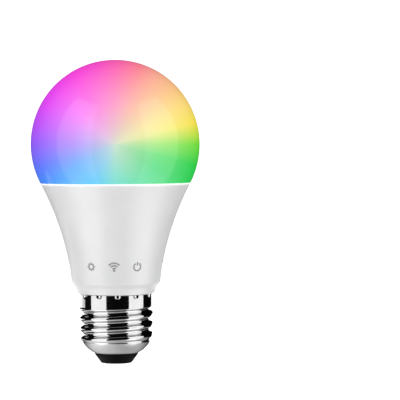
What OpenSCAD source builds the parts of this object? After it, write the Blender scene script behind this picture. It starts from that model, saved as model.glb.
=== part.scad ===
// Colour-changing WiFi lamp, pear shaped, on an Edison screw cap.
// The origin is the underside of the centre contact and +Z runs up the lamp's axis to the globe's crown.
// The driver board stands in a vertical plane, and the front of the lamp faces -Y.

/* [Globe] */
// Outside diameter of the diffuser globe
globe_d = 60; // [58:0.5:72]
// How far the globe's open rim lies below its widest plane
rim_drop = 13.7; // [12:0.1:16.4]
// Wall of the moulded diffuser
globe_wall = 1.2; // [0.9:0.1:1.6]
// Depth of the spigot that plugs into the housing
spigot_h = 2.2; // [1.8:0.1:2.8]
// Thickness of the silicone bead between globe and housing
bead_h = 0.5; // [0.3:0.05:0.6]
// Number of snap barbs round the spigot
barbs = 6; // [3:1:12]

/* [Housing] */
// Height from the top of the screw shell to the housing's rim, bead included
housing_h = 39.3; // [38.5:0.1:48]
// Wall of the plastic housing
housing_wall = 1.4; // [1.1:0.1:1.7]
// Radius of the housing just above its bottom chamfer
waist_r = 15.8; // [15.2:0.1:18]
// Radius of the narrow ring that sits on the screw shell
ring_r = 14.1; // [13.8:0.1:14.8]
// Wall of the neck inside the screw shell
neck_wall = 1.2; // [1:0.05:1.5]

/* [Screw cap] */
// Diameter over the crests of the thread
thread_d = 26.4; // [26.05:0.05:31.7]
// Pitch of the thread
thread_pitch = 3.629; // [3:0.001:4.4]
// Radial depth from crest to root
thread_depth = 1.08; // [0.9:0.01:1.3]
// Sheet thickness of the shell, measured radially
shell_t = 0.35; // [0.3:0.05:0.45]
// Height of the shell's top edge above the contact
shell_top = 25; // [24.5:0.1:30]
// Height of the plain collar above the thread
collar_h = 4.4; // [3.7:0.1:5.3]
// Radius of the opening in the shell's lower lip
lip_r = 7.8; // [6.5:0.1:9]
// Height of the lip's edge above the contact
lip_z = 3.9; // [3.3:0.1:4.6]
// Height at which the lip meets the thread
lip_top = 8; // [7.4:0.1:8.6]
// Number of punch marks that lock the collar to the neck
crimps = 12; // [6, 8, 12, 16]
// Diameter of the contact eyelet
contact_d = 9.4; // [8:0.1:10]

/* [LED board] */
// Depth of the LED board's underside below the housing's rim plane
led_board_drop = 5.4; // [5:0.1:6]
// Thickness of the aluminium-core LED board
led_board_t = 1.5; // [1:0.1:1.8]
// Number of white LEDs, half of them cool and half warm
white_leds = 18; // [14:2:18]
// Number of colour LEDs
rgb_leds_n = 6; // [3:3:6]

/* [Driver] */
// Thickness of the driver board
driver_t = 1.6; // [1.2:0.1:2]
// Distance of the driver board's mid plane behind the axis
driver_y = 5; // [4.6:0.1:5.6]
// Thickness of the aluminium heat-sink cup
cup_wall = 1; // [0.8:0.1:1.3]
// Width of the radio module
wifi_w = 12; // [10:0.1:12.4]
// Height of the antenna end above the LED board
antenna_h = 7.5; // [6:0.1:10]

/* [Hidden] */
$fn = 96;
eps = 0.01;
fit = 0.1;          // clearance between pieces that are pressed or glued together
slip = 0.2;         // clearance between pieces that slide past each other in assembly
flare_steps = 16;   // straight steps in the housing's flare

// Heights, from the contact up
rim_z = shell_top + housing_h;
globe_z = rim_z + rim_drop;
globe_r = globe_d / 2;
rim_r = sqrt(pow(globe_r, 2) - pow(rim_drop, 2));
housing_top = rim_z - bead_h;

// Screw shell
crest_r = thread_d / 2;
root_r = crest_r - thread_depth;
collar_r = crest_r - 0.15;
thread_top = shell_top - collar_h;
thread_rows = 10;      // rows of facets in one pitch
shell_sides = 48;      // facets round the shell
lead_in = 1;           // length over which the thread fades in and out
crimp_in = 0.45;       // depth of a punch mark
crimp_z = 0.5;         // punch marks' distance below the shell's top edge
crimp_turn = 4.7;      // angle of the first punch mark about the lamp's axis
lip_start_r = root_r + 0.08;
lip_arc_r = 9.3;
lip_steps = 6;
edison_r = (pow(thread_depth, 2) + pow(thread_pitch / 2, 2)) / (4 * thread_depth);
crest_at_left = 15.95; // height of one crest on the -X side

// Neck and housing
neck_r = root_r - shell_t - 0.17;
neck_in_r = neck_r - neck_wall;
neck_bottom = lip_top + 1;
waist_z = shell_top + 3.9;
waist_draft = 5;       // degrees that the housing leans out just above its waist
chamfer = 1.4;
waist = [waist_r, waist_z];
rim = [rim_r, rim_z];
rim_slope = atan(rim_drop / rim_r);
flare = bezier(waist, waist + (rim_z - waist_z) * 0.33 * lean(waist_draft),
               rim - (rim_z - waist_z) * 0.385 * lean(rim_slope), rim, flare_steps);
seat_z = housing_top - spigot_h - slip;
seat_r = flare_r(seat_z) - housing_wall + 0.25;
barb_top = housing_top - 1;       // upper edge of the snap barbs
barb_low = barb_top - 0.6;
barb_out = 0.35;
cavity_z = waist_z + 0.7;
wire_groove_w = 1;
wire_groove_d = 0.75;

// Heat sink and LED board
cup_bottom = waist_z + 5.1;
cup_top = seat_z - slip;
board_z = rim_z - led_board_drop;
board_top = board_z + led_board_t;
compound_t = 0.15;
ledge_t = 1.4;
ledge_w = 4;
board_r = cup_in_r(board_z) - fit;
screw_ring_r = board_r - 1.9;
screw_angles = [90, 210, 330];
screw_r = 1;
screw_head_r = 1.75;
tapped_slack = 0.03;    // the tapped holes are drawn plain, this much wider than the screws
white_ring_r = board_r - 5.6;
rgb_ring_r = white_ring_r - 5.2;
rgb_size = 5;
rgb_window_r = rgb_size / 2 - 0.5;
rgb_window_d = 0.5;     // depth of the round recess that holds the clear fill
rgb_fill_t = 0.4;
white_size = [2.8, 3.5, 0.75];
window_edge = 0.35;     // wall round the recess that holds a white LED's fill
window_t = 0.25;
rgb_h = 1.4;

// Driver board and what is soldered to it
driver_front = driver_y - driver_t / 2;
driver_back = driver_y + driver_t / 2;
driver_bottom = neck_bottom + 5;
driver_top = board_z - ledge_t - compound_t - 0.4;
tail_w = half_width(neck_in_r - slip);
body_w = half_width(cup_in_r(cup_bottom) - 0.3);
tail_top = waist_z + 2.1;
body_bottom = tail_top + 3;
lead_r = 0.3;
leg_end = 1.2;          // how far a leg stands out of the board on its soldered side
cap_leg_x = 1.75;
seat_gap = 0.3;        // how far bodies stand off the board

// Radio module
wifi_y = -1.5;
wifi_t = 0.8;
wifi_bottom = board_z - 8.9;
wifi_top = board_top + antenna_h;
wifi_pin_z = wifi_bottom + 1.2;
wifi_pins_n = 5;
pin_pitch = 2;
slot = [wifi_w + 2 * slip, wifi_t + 1.4];
chip_y = wifi_y - slot[1] / 2 - 2.7;

// Link between the boards
link_n = 6;
link_y = driver_front - 1.3;
link_z = board_z - 4.6;
pin_w = 0.5;
link_socket_h = 3.1;

// Front components
input_cap = [8, 13.5];           // diameter and length
input_cap_z = driver_bottom + 1.9;
input_cap_leg_z = driver_bottom + 1;
output_cap = [8, 12];
output_cap_at = [6, waist_z + 14.6];
transformer_at = [-4.7, waist_z + 14.1];
core_size = [11, 4.6, 10];
core_leg = 2.6;
core_window = [2.3, 7];
transformer_y = driver_front - 6;
bobbin_d = core_size[1] + 4.4;
bobbin_gap = driver_front - transformer_y - bobbin_d / 2;
choke_at = [4.4, waist_z + 5];
choke_r = 3.1;
choke_h = 7.6;
film_at = [-4.4, waist_z + 5];
film_size = [7, 6.8, 3.4];

// Back components
varistor_at = [-5.2, waist_z + 9.4];
varistor_r = 3.5;
varistor_t = 2.5;
resistor_at = [-3.4, driver_bottom + 7];
resistor_r = 1.5;
resistor_l = 8;
resistor_leg = resistor_l / 2 + 0.9;
resistor_y = driver_back + 0.2 + resistor_r;
varistor_gap = 0.6;
rectifier_at = [3.4, driver_bottom + 9];
controller_at = [1, waist_z + 14.5];
diode_at = [7, waist_z + 20];

// Base
plug_top = lip_top - 0.8;
insulator_z = 0.7;
insulator_foot_z = 0.28;
insulator_foot_r = 5.5;
eyelet_t = 0.45;
pin_head_t = 0.25;
pin_head_r = 2.4;
pin_r = 0.85;
pin_tip = 0.8;
eyelet_r = 1.7;
eyelet_in_r = 1.45;
eyelet_top = plug_top + 0.8;
wire_r = 0.65;
strand_r = 0.25;
neutral_r = 0.33;
wire_sides = 8;

// Routes of the two mains leads, from the driver board down
pad_z = driver_bottom + 1.8;
fold_r = neck_r - 0.3;   // where the neutral lead's end is folded up between neck and shell
live_route = [[-3, driver_front - strand_r - 0.05, pad_z], [-3, driver_front - 0.4, driver_bottom + 0.2],
              [-3, driver_front - 0.8, driver_bottom - 0.6], [-2.6, 3, 12], [-1.5, 1.9, 10.2],
              [-0.72, 0.9, 8.8], [-0.72, 0.9, 8], [-0.72, 0.9, 5.5], [-0.72, 0.9, 2.6]];
live_sizes = [strand_r, strand_r, wire_r, wire_r, wire_r, strand_r, strand_r, strand_r, strand_r];
neutral_route = [[5.4, driver_front - neutral_r - 0.05, pad_z],
                 [5.4, driver_front - 0.45, driver_bottom + 0.2],
                 [5.4, driver_front - 0.8, driver_bottom - 0.6], [6.2, 3, 11.6], [8, 2, 9.6],
                 [fold_r - 1.4, 0.9, 8.15], [fold_r - 0.35, 0.3, 8.15], [fold_r, 0, neck_bottom],
                 [fold_r, 0, neck_bottom + 2], [fold_r, 0, neck_bottom + 5]];
neutral_sizes = [neutral_r, neutral_r, wire_r, wire_r, wire_r, neutral_r, neutral_r, neutral_r,
                 neutral_r, neutral_r];

// ---- shared functions ----

// Unit vector that leans out by an angle from the axis
function lean(angle) = [sin(angle), cos(angle)];

function bezier(a, b, c, d, steps) =
    [for (i = [0:steps]) let (t = i / steps)
        pow(1 - t, 3) * a + 3 * pow(1 - t, 2) * t * b + 3 * (1 - t) * t * t * c + pow(t, 3) * d];

// Outside radius of the housing at a height
function flare_r(z) = lookup(z, [for (p = flare) [p[1], p[0]]]);

function cup_out_r(z) = flare_r(z) - housing_wall - fit;
function cup_in_r(z) = cup_out_r(z) - cup_wall;

// Half the width of a board in the driver's plane that just fits in a round bore
function half_width(bore_r) = sqrt(pow(bore_r, 2) - pow(driver_back, 2));

// A profile's points between two heights, set in from the housing's outside
function inner_wall(from_z, to_z, inset, steps) =
    [for (i = [0:steps]) let (z = from_z + (to_z - from_z) * i / steps) [flare_r(z) - inset, z]];

// Radius of the thread at a distance from its nearest crest: two tangent arcs, crest and root
function edison(u) = abs(u) <= thread_pitch / 4
    ? crest_r - edison_r + sqrt(pow(edison_r, 2) - u * u)
    : root_r + edison_r - sqrt(pow(edison_r, 2) - pow(thread_pitch / 2 - abs(u), 2));

function from_crest(z, angle) =
    let (turns = (z - crest_at_left) / thread_pitch - (angle - 180) / 360)
    (turns - round(turns)) * thread_pitch;

function fade(t) = let (s = min(max(t, 0), 1)) s * s * (3 - 2 * s);

function thread_r(z, angle) =
    let (top = fade((thread_top - z) / lead_in), low = fade((z - lip_top) / lead_in),
         r = edison(from_crest(z, angle)))
    lip_start_r * (1 - low) + low * (collar_r * (1 - top) + top * r);

// Centre of the arc that the lip's outside follows
function lip_centre() =
    let (a = [lip_start_r, lip_top], b = [lip_r, lip_z], m = (a + b) / 2, d = b - a,
         n = [d[1], -d[0]] / norm(d))
    m + n * sqrt(pow(lip_arc_r, 2) - pow(norm(d) / 2, 2));

function lip_angle(p) = let (c = lip_centre()) atan2(p[1] - c[1], p[0] - c[0]);

function lip_points(radius, steps) =
    let (c = lip_centre(), a = lip_angle([lip_start_r, lip_top]), b = lip_angle([lip_r, lip_z]))
    [for (i = [0:steps]) let (q = a + (b - a) * i / steps) c + radius * [cos(q), sin(q)]];

// Smooth curve through a list of points, with the value at each joint kept
function curve_through(p, steps) =
    [for (i = [0:len(p) - 2], k = [0:steps - 1])
        let (t = k / steps, a = p[max(i - 1, 0)], b = p[i], c = p[i + 1], d = p[min(i + 2, len(p) - 1)])
        0.5 * (2 * b + (c - a) * t + (2 * a - 5 * b + 4 * c - d) * t * t
               + (3 * b - a - 3 * c + d) * t * t * t),
     p[len(p) - 1]];

function unit(v) = v / norm(v);

// Faces of a tube of rings: rings of sides points, closed at both ends
function tube_faces(rings, sides) = concat(
    [for (k = [0:rings - 2], i = [0:sides - 1])
        let (a = k * sides + i, b = k * sides + (i + 1) % sides)
        each [[a, b + sides, b], [a, a + sides, b + sides]]],
    [[for (i = [0:sides - 1]) i]],
    [[for (i = [sides - 1:-1:0]) (rings - 1) * sides + i]]);

// ---- shared shapes ----

module ring(r_in, r_out, h) {
    difference() {
        cylinder(r = r_out, h = h);
        translate([0, 0, -eps]) cylinder(r = r_in, h = h + 2 * eps);
    }
}

// A box centred on x, standing out from the driver board's front or back face
module on_front(at, size, gap = 0) {
    translate([at[0] - size[0] / 2, driver_front - gap - size[1], at[1] - size[2] / 2]) cube(size);
}

module on_back(at, size, gap = 0) {
    translate([at[0] - size[0] / 2, driver_back + gap, at[1] - size[2] / 2]) cube(size);
}

// Copies round the LED board, with +X pointing outwards
module round_board(n, ring_r, first = 0, step = 1) {
    for (i = [0:step:n - 1])
        rotate([0, 0, first + i * 360 / n]) translate([ring_r, 0, board_top]) children();
}

module wire(route, sizes, across) {
    steps = 3;
    path = curve_through(route, steps);
    widths = [for (i = [0:len(path) - 1])
        let (k = i / steps, a = floor(k), b = min(a + 1, len(sizes) - 1))
        sizes[a] + (sizes[b] - sizes[a]) * (k - a)];
    side = unit(across);
    points = [for (i = [0:len(path) - 1])
        let (t = unit(path[min(i + 1, len(path) - 1)] - path[max(i - 1, 0)]), up = unit(cross(t, side)))
        for (k = [0:wire_sides - 1]) path[i]
            + widths[i] * (side * cos(360 * k / wire_sides) + up * sin(360 * k / wire_sides))];
    polyhedron(points, tube_faces(len(path), wire_sides));
}

// Can of an electrolytic capacitor standing on z = 0, with its beaded neck
module capacitor_can(d, h) {
    r = d / 2;
    bead = 0.35;
    rotate_extrude()
        polygon([[0, 0], [r - bead, 0], [r, bead], [r, 1.1], [r - bead, 1.5], [r, 1.9], [r, h - bead],
                 [r - bead, h], [0, h]]);
}

// ---- outside ----

module globe_diffuser() {
    inner = globe_r - globe_wall;
    spigot_r = seat_r - fit;
    flange_h = 1.1;
    color("white") union() {
        difference() {
            translate([0, 0, globe_z]) sphere(r = globe_r);
            translate([0, 0, globe_z]) sphere(r = inner);
            translate([0, 0, globe_z - globe_r - 1])
                cylinder(r = globe_r + 1, h = globe_r + 1 - rim_drop);
        }
        rotate_extrude()
            polygon([[spigot_r - globe_wall, housing_top - spigot_h],
                     [spigot_r, housing_top - spigot_h],
                     [spigot_r, rim_z],
                     [rim_r - globe_wall / 2, rim_z],
                     [rim_r - globe_wall / 2, rim_z + flange_h],
                     [spigot_r - globe_wall, rim_z + flange_h]]);
        for (i = [0:barbs - 1])
            rotate([0, 0, i * 360 / barbs]) rotate_extrude(angle = 14)
                polygon([[spigot_r - eps, barb_low], [spigot_r + barb_out, barb_low + 0.3],
                         [spigot_r + barb_out, barb_top - 0.1], [spigot_r - eps, barb_top]]);
    }
}

module sealant_ring() {
    color("white") rotate_extrude()
        polygon([[seat_r + 0.1, housing_top], [rim_r - 0.35, housing_top],
                 [rim_r - 0.2, housing_top + bead_h / 2], [rim_r - 0.25, rim_z], [seat_r + 0.1, rim_z]]);
}

module housing() {
    edge = 0.3;
    groove_r = seat_r + barb_out + 0.15;
    groove = [[seat_r, barb_top + slip], [groove_r, barb_top + fit],
              [groove_r, barb_low - 0.05], [seat_r, barb_low - 0.15]];
    core_r = collar_r - shell_t - fit;
    crimp_r = core_r - crimp_in;
    outside = concat(
        [[neck_in_r, neck_bottom], [neck_r, neck_bottom], [neck_r, thread_top],
         [core_r, thread_top + 0.4], [core_r, shell_top - 2 * crimp_z - 0.3],
         [crimp_r, shell_top - 2 * crimp_z], [crimp_r, shell_top + fit],
         [ring_r - 0.45, shell_top + fit], [ring_r - 0.12, shell_top + 0.7], [ring_r, shell_top + 1.4],
         [ring_r + 0.1, waist_z - chamfer - 0.5], [ring_r + 0.3, waist_z - chamfer - 0.3],
         [waist_r - 0.35, waist_z - 0.5], [waist_r - 0.1, waist_z - 0.25]],
        [for (p = flare) if (p[1] < housing_top - edge - 0.2) p],
        [[flare_r(housing_top - edge), housing_top - edge], [flare_r(housing_top) - edge, housing_top]]);
    inside = concat(
        [[seat_r, housing_top]], groove, [[seat_r, seat_z]],
        inner_wall(seat_z, cavity_z, housing_wall, 18),
        [[neck_in_r, waist_z - 1.7]]);
    rib_x = tail_w - 1;
    rib_t = 1;
    color("whitesmoke") difference() {
        union() {
            rotate_extrude() polygon(concat(outside, inside));
            intersection() {
                for (side = [-1, 1], y = [driver_front - fit - rib_t, driver_back + fit])
                    translate([side > 0 ? rib_x : -rib_x - 5, y, driver_bottom - 1.2]) cube([5, rib_t, 12]);
                cylinder(r = neck_in_r + 0.4, h = waist_z);
            }
        }
        translate([neck_r - wire_groove_d, -wire_groove_w / 2, neck_bottom - 1])
            cube([wire_groove_d + 1, wire_groove_w, 7]);
    }
}

module screw_shell() {
    thread_n = ceil((thread_top - lip_top) / thread_pitch * thread_rows);
    lip_out = lip_points(lip_arc_r, lip_steps);
    lip_in = lip_points(lip_arc_r - shell_t, lip_steps);
    collar_z = [shell_top, shell_top - crimp_z, shell_top - 2 * crimp_z, thread_top + 0.5];
    dent = [0.4, 1, 0, 0];
    thread_h = thread_top - lip_top;
    heights = concat(collar_z, [for (i = [0:thread_n - 1]) thread_top - thread_h * i / thread_n]);
    sides_per_crimp = shell_sides / crimps;
    // Each row is the wall's outer and inner point at every angle
    rows = concat(
        [for (k = [0:len(heights) - 1]) [for (i = [0:shell_sides - 1])
            let (angle = crimp_turn + i * 360 / shell_sides, z = heights[k],
                 mark = k < len(dent) && i % sides_per_crimp == 0 ? dent[k] * crimp_in : 0,
                 r = (k < len(dent) ? collar_r : thread_r(z, angle)) - mark)
            [[r, z], [r - shell_t, z]]]],
        [for (k = [0:lip_steps]) [for (i = [0:shell_sides - 1]) [lip_out[k], lip_in[k]]]]);
    n = len(rows);
    points = [for (wall = [0, 1], k = [0:n - 1], i = [0:shell_sides - 1])
        let (angle = crimp_turn + i * 360 / shell_sides, p = rows[k][i][wall])
        [p[0] * cos(angle), p[0] * sin(angle), p[1]]];
    inner = n * shell_sides;
    function at(k, i) = k * shell_sides + i % shell_sides;
    faces = concat(
        [for (k = [0:n - 2], i = [0:shell_sides - 1])
            each [[at(k, i), at(k, i + 1), at(k + 1, i + 1)], [at(k, i), at(k + 1, i + 1), at(k + 1, i)]]],
        [for (k = [0:n - 2], i = [0:shell_sides - 1])
            each [[inner + at(k + 1, i + 1), inner + at(k, i + 1), inner + at(k, i)],
                  [inner + at(k + 1, i), inner + at(k + 1, i + 1), inner + at(k, i)]]],
        [for (i = [0:shell_sides - 1])
            each [[at(0, i), inner + at(0, i + 1), at(0, i + 1)],
                  [at(0, i), inner + at(0, i), inner + at(0, i + 1)]]],
        [for (i = [0:shell_sides - 1])
            each [[at(n - 1, i), at(n - 1, i + 1), inner + at(n - 1, i + 1)],
                  [at(n - 1, i), inner + at(n - 1, i + 1), inner + at(n - 1, i)]]]);
    color("silver") polyhedron(points, faces);
}

module base_insulator() {
    seat = lip_points(lip_arc_r - shell_t - fit, 8);
    plug = [for (p = seat) if (p[1] < plug_top - 0.9) p];
    neck = plug[len(plug) - 1];
    color("#181818") rotate_extrude()
        polygon(concat(
            [[eyelet_r + fit / 2, insulator_z], [contact_d / 2 + fit, insulator_z],
             [contact_d / 2 + fit, insulator_foot_z], [insulator_foot_r - 0.35, insulator_foot_z],
             [insulator_foot_r, insulator_foot_z + 0.35], [lip_r, lip_z - fit - 0.25], [lip_r, lip_z - fit],
             [neck[0] - 0.08, lip_z - fit], [neck[0] - 0.08, neck[1] - 0.1]],
            [for (i = [len(plug) - 1:-1:0]) plug[i]],
            [[plug[0][0], plug_top], [eyelet_r + fit / 2, plug_top]]));
}

module centre_contact() {
    r = contact_d / 2;
    color("lightgray") rotate_extrude()
        polygon([[eyelet_in_r, pin_head_t], [r - 0.35, pin_head_t], [r - 0.1, pin_head_t + 0.1],
                 [r, insulator_z - 0.1], [r, insulator_z], [eyelet_r, insulator_z], [eyelet_r, eyelet_top],
                 [eyelet_in_r, eyelet_top]]);
}

module contact_pin() {
    color("silver") rotate_extrude()
        polygon([[0, 0], [pin_head_r - 0.15, 0], [pin_head_r, pin_head_t / 2], [pin_head_r, pin_head_t],
                 [pin_r, pin_head_t], [pin_r, eyelet_top - 0.4], [0.2, eyelet_top + pin_tip],
                 [0, eyelet_top + pin_tip]]);
}

// ---- heat sink and LED board ----

module heat_sink_cup() {
    steps = 16;
    ledge_top = board_z - compound_t;
    ledge_r = cup_in_r(ledge_top);
    color("lightslategray") difference() {
        rotate_extrude()
            polygon(concat(
                inner_wall(cup_bottom, cup_top, housing_wall + fit, steps),
                inner_wall(cup_top, ledge_top, housing_wall + fit + cup_wall, 2),
                [[ledge_r - ledge_w, ledge_top], [ledge_r - ledge_w, ledge_top - ledge_t]],
                inner_wall(ledge_top - ledge_t, cup_bottom, housing_wall + fit + cup_wall, steps)));
        for (a = screw_angles)
            rotate([0, 0, a]) translate([screw_ring_r, 0, ledge_top - ledge_t - 1])
                cylinder(r = screw_r + tapped_slack, h = ledge_t + 2);
    }
}

module thermal_compound() {
    bottom = board_z - compound_t;
    ledge_r = cup_in_r(bottom);
    edge = 0.3;
    color("ghostwhite") difference() {
        translate([0, 0, bottom]) ring(ledge_r - ledge_w + edge, ledge_r - edge, compound_t);
        for (a = screw_angles)
            rotate([0, 0, a]) translate([screw_ring_r, 0, board_z - 1]) cylinder(r = screw_r + edge, h = 2);
    }
}

module led_board() {
    through = led_board_t + 2;
    color("white") translate([0, 0, board_z]) difference() {
        cylinder(r = board_r, h = led_board_t);
        translate([-slot[0] / 2, wifi_y - slot[1] / 2, -1]) cube([slot[0], slot[1], through]);
        at_link_pins() translate([0, 0, -1]) cylinder(r = 0.55, h = through);
        for (a = screw_angles)
            rotate([0, 0, a]) translate([screw_ring_r, 0, -1]) cylinder(r = screw_r + 0.15, h = through);
    }
}

module board_screws() {
    head_h = 1;
    length = led_board_t + compound_t + ledge_t + 0.6;
    color("silver") for (a = screw_angles)
        rotate([0, 0, a]) translate([screw_ring_r, 0, board_top]) difference() {
            union() {
                rotate_extrude()
                    polygon([[0, 0], [screw_head_r, 0], [screw_head_r, 0.45],
                             [screw_head_r - 0.55, head_h], [0, head_h]]);
                translate([0, 0, -length]) cylinder(r = screw_r, h = length + eps);
            }
            for (turn = [0, 90]) rotate([0, 0, turn])
                translate([-1.1, -0.2, head_h - 0.5]) cube([2.2, 0.4, 1]);
        }
}

// The window of a white LED, from its floor up by a height
module led_window(h) {
    s = white_size;
    translate([window_edge - s[0] / 2, window_edge - s[1] / 2, s[2] - window_t])
        cube([s[0] - 2 * window_edge, s[1] - 2 * window_edge, h]);
}

module white_led_packages() {
    s = white_size;
    color("white") round_board(white_leds, white_ring_r) difference() {
        translate([-s[0] / 2, -s[1] / 2, 0]) cube(s);
        led_window(1);
    }
}

// The silicone fill of every other package
module phosphor_windows(first) {
    round_board(white_leds / 2, white_ring_r, first)
        led_window(window_t);
}

module cool_phosphor_windows() {
    color("gold") phosphor_windows(0);
}

module warm_phosphor_windows() {
    color("orange") phosphor_windows(360 / white_leds);
}

module rgb_led_packages() {
    color("white") round_board(rgb_leds_n, rgb_ring_r) difference() {
        translate([-rgb_size / 2, -rgb_size / 2, 0]) cube([rgb_size, rgb_size, rgb_h]);
        translate([0, 0, rgb_h - rgb_window_d]) cylinder(r = rgb_window_r, h = 1);
    }
}

module rgb_led_windows() {
    color("lightgray") round_board(rgb_leds_n, rgb_ring_r)
        translate([0, 0, rgb_h - rgb_window_d]) cylinder(r = rgb_window_r, h = rgb_fill_t);
}

// Small-outline package with gull-wing legs along two sides, standing on z = 0
module chip(size, legs) {
    leg = [0.4, 0.9, 0.25];
    leg_pitch = 1.27;
    translate([-size[0] / 2, -size[1] / 2, 0.1]) cube([size[0], size[1], size[2] - 0.1]);
    for (i = [0:legs - 1], turn = [0, 180])
        rotate([0, 0, turn])
            translate([(i - (legs - 1) / 2) * leg_pitch - leg[0] / 2, size[1] / 2 - eps, 0]) cube(leg);
}

module led_driver_chip() {
    color("#303030") translate([0, chip_y, board_top]) chip([4.9, 3, 1.4], 4);
}

// ---- link between the boards ----

module at_link_pins() {
    for (i = [0:link_n - 1]) translate([(i - (link_n - 1) / 2) * pin_pitch, link_y, 0]) children();
}

module link_socket() {
    size = [link_n * pin_pitch + 0.6, 4.2, link_socket_h];
    color("ivory") difference() {
        translate([-size[0] / 2, link_y - size[1] / 2, board_top]) cube(size);
        at_link_pins() translate([-0.4, -0.4, board_top - 1]) cube([0.8, 0.8, link_socket_h + 2]);
    }
}

module link_header() {
    size = [link_n * pin_pitch + 0.4, 2.3, 2];
    color("#202020") difference() {
        translate([-size[0] / 2, driver_front - size[1], link_z - size[2] / 2]) cube(size);
        at_link_pins() union() {
            translate([-0.3, -0.3, link_z - 0.3]) cube([0.6, 0.6, size[2]]);
            translate([-0.3, -0.3, link_z - 0.3]) cube([0.6, 5, 0.6]);
        }
    }
}

module link_pins() {
    color("gold") at_link_pins() union() {
        translate([-pin_w / 2, -pin_w / 2, link_z - pin_w / 2])
            cube([pin_w, pin_w, board_top + link_socket_h - 0.4 - link_z]);
        translate([-pin_w / 2, -pin_w / 2, link_z - pin_w / 2])
            cube([pin_w, driver_back - link_y + 0.7, pin_w]);
    }
}

// ---- radio module ----

module at_wifi_pins() {
    for (i = [0:wifi_pins_n - 1])
        translate([(i - (wifi_pins_n - 1) / 2) * pin_pitch, 0, wifi_pin_z]) children();
}

module wifi_board() {
    color("darkslategray") difference() {
        translate([-wifi_w / 2, wifi_y - wifi_t / 2, wifi_bottom])
            cube([wifi_w, wifi_t, wifi_top - wifi_bottom]);
        at_wifi_pins() translate([0, wifi_y + 1, 0]) rotate([90, 0, 0]) cylinder(r = 0.45, h = 2);
    }
}

module wifi_shield_can() {
    size = [wifi_w - 2, 1.5, 6];
    sheet = 0.2;
    corner = [-size[0] / 2, wifi_y - wifi_t / 2 - size[1], wifi_pin_z + 0.9];
    color("silver") translate(corner) difference() {
        cube(size);
        translate([sheet, sheet, sheet]) cube([size[0] - 2 * sheet, size[1], size[2] - 2 * sheet]);
    }
}

// Meandering copper track on the free end of the radio board
module wifi_antenna() {
    track = 0.5;
    runs = 5;
    low = board_top + 1.4;
    high = wifi_top - 0.6;
    step = (wifi_w - 2) / runs;
    color("gold") translate([0, wifi_y - wifi_t / 2, 0]) rotate([90, 0, 0]) linear_extrude(height = 0.1)
        union() for (i = [0:runs]) {
            x = i * step - (wifi_w - 2) / 2 - track / 2;
            translate([x, low]) square([track, high - low]);
            if (i < runs) translate([x, i % 2 > 0 ? low : high - track]) square([step + track, track]);
        }
}

module wifi_spacer() {
    size = [wifi_pins_n * pin_pitch + 0.4, driver_front - wifi_y - wifi_t / 2, 2];
    color("#202020") difference() {
        translate([-size[0] / 2, wifi_y + wifi_t / 2, wifi_pin_z - size[2] / 2]) cube(size);
        at_wifi_pins() translate([-0.3, wifi_y, -0.3]) cube([0.6, size[1] + 2, 0.6]);
    }
}

module wifi_pins() {
    length = driver_back - wifi_y + wifi_t / 2 + 1.3;
    color("gold") at_wifi_pins() translate([-pin_w / 2, wifi_y - wifi_t / 2 - 0.6, -pin_w / 2])
        cube([pin_w, length, pin_w]);
}

// ---- driver board ----

// Every through-hole leg: its place on the board, and how far it reaches in front and behind
function legs() = [for (side = [-1, 1]) each [
    [output_cap_at + [cap_leg_x * side, 0], seat_gap, leg_end],
    [choke_at + [2 * side, 0], seat_gap, leg_end],
    [film_at + [2.5 * side, 0], seat_gap, leg_end],
    [varistor_at + [2.5 * side, 0], leg_end, varistor_gap],
    [transformer_at + [2.2, 3.1 * side], bobbin_gap, 0.5],
    [transformer_at + [-2.2, 3.1 * side], bobbin_gap, 0.5],
    [[cap_leg_x * side, input_cap_leg_z], seat_gap + input_cap[0] / 2 + lead_r, leg_end],
    [resistor_at + [0, resistor_leg * side], leg_end, resistor_y - driver_back + lead_r]]];

// A round bar across the driver board at a place on it, from behind the board to in front of it
module across_driver(at, r, front, back) {
    translate([at[0], driver_back + back, at[1]]) rotate([90, 0, 0])
        cylinder(r = r, h = driver_t + front + back);
}

module driver_board() {
    hole_r = 0.45;
    half = [[tail_w, driver_bottom], [tail_w, tail_top], [body_w, body_bottom], [body_w, driver_top]];
    mirrored = [for (i = [len(half) - 1:-1:0]) [-half[i][0], half[i][1]]];
    color("darkgreen") difference() {
        translate([0, driver_back, 0]) rotate([90, 0, 0]) linear_extrude(height = driver_t)
            polygon(concat(half, mirrored));
        for (leg = legs()) across_driver(leg[0], hole_r, 1, 1);
        at_wifi_pins() across_driver([0, 0], hole_r, 1, 1);
        at_link_pins() translate([0, -link_y, 0]) across_driver([0, link_z], hole_r, 1, 1);
    }
}

module component_leads() {
    half = resistor_l / 2;
    color("silver") union() {
        for (leg = legs()) across_driver(leg[0], lead_r, leg[1], leg[2]);
        // The capacitor's and the resistor's legs leave their ends upright and bend to the board
        for (side = [-1, 1]) {
            translate([cap_leg_x * side, driver_front - seat_gap - input_cap[0] / 2, input_cap_leg_z])
                cylinder(r = lead_r, h = input_cap_z - input_cap_leg_z);
            translate([resistor_at[0], resistor_y, resistor_at[1] + side * (resistor_leg + half) / 2])
                cylinder(r = lead_r, h = resistor_leg - half, center = true);
        }
    }
}

module transformer_core() {
    color("dimgray") translate([transformer_at[0], transformer_y, transformer_at[1]]) difference() {
        cube(core_size, center = true);
        for (side = [-1, 1])
            translate([side * (core_leg + core_window[0]) / 2, 0, 0])
                cube([core_window[0], core_size[1] + 1, core_window[1]], center = true);
    }
}

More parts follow.
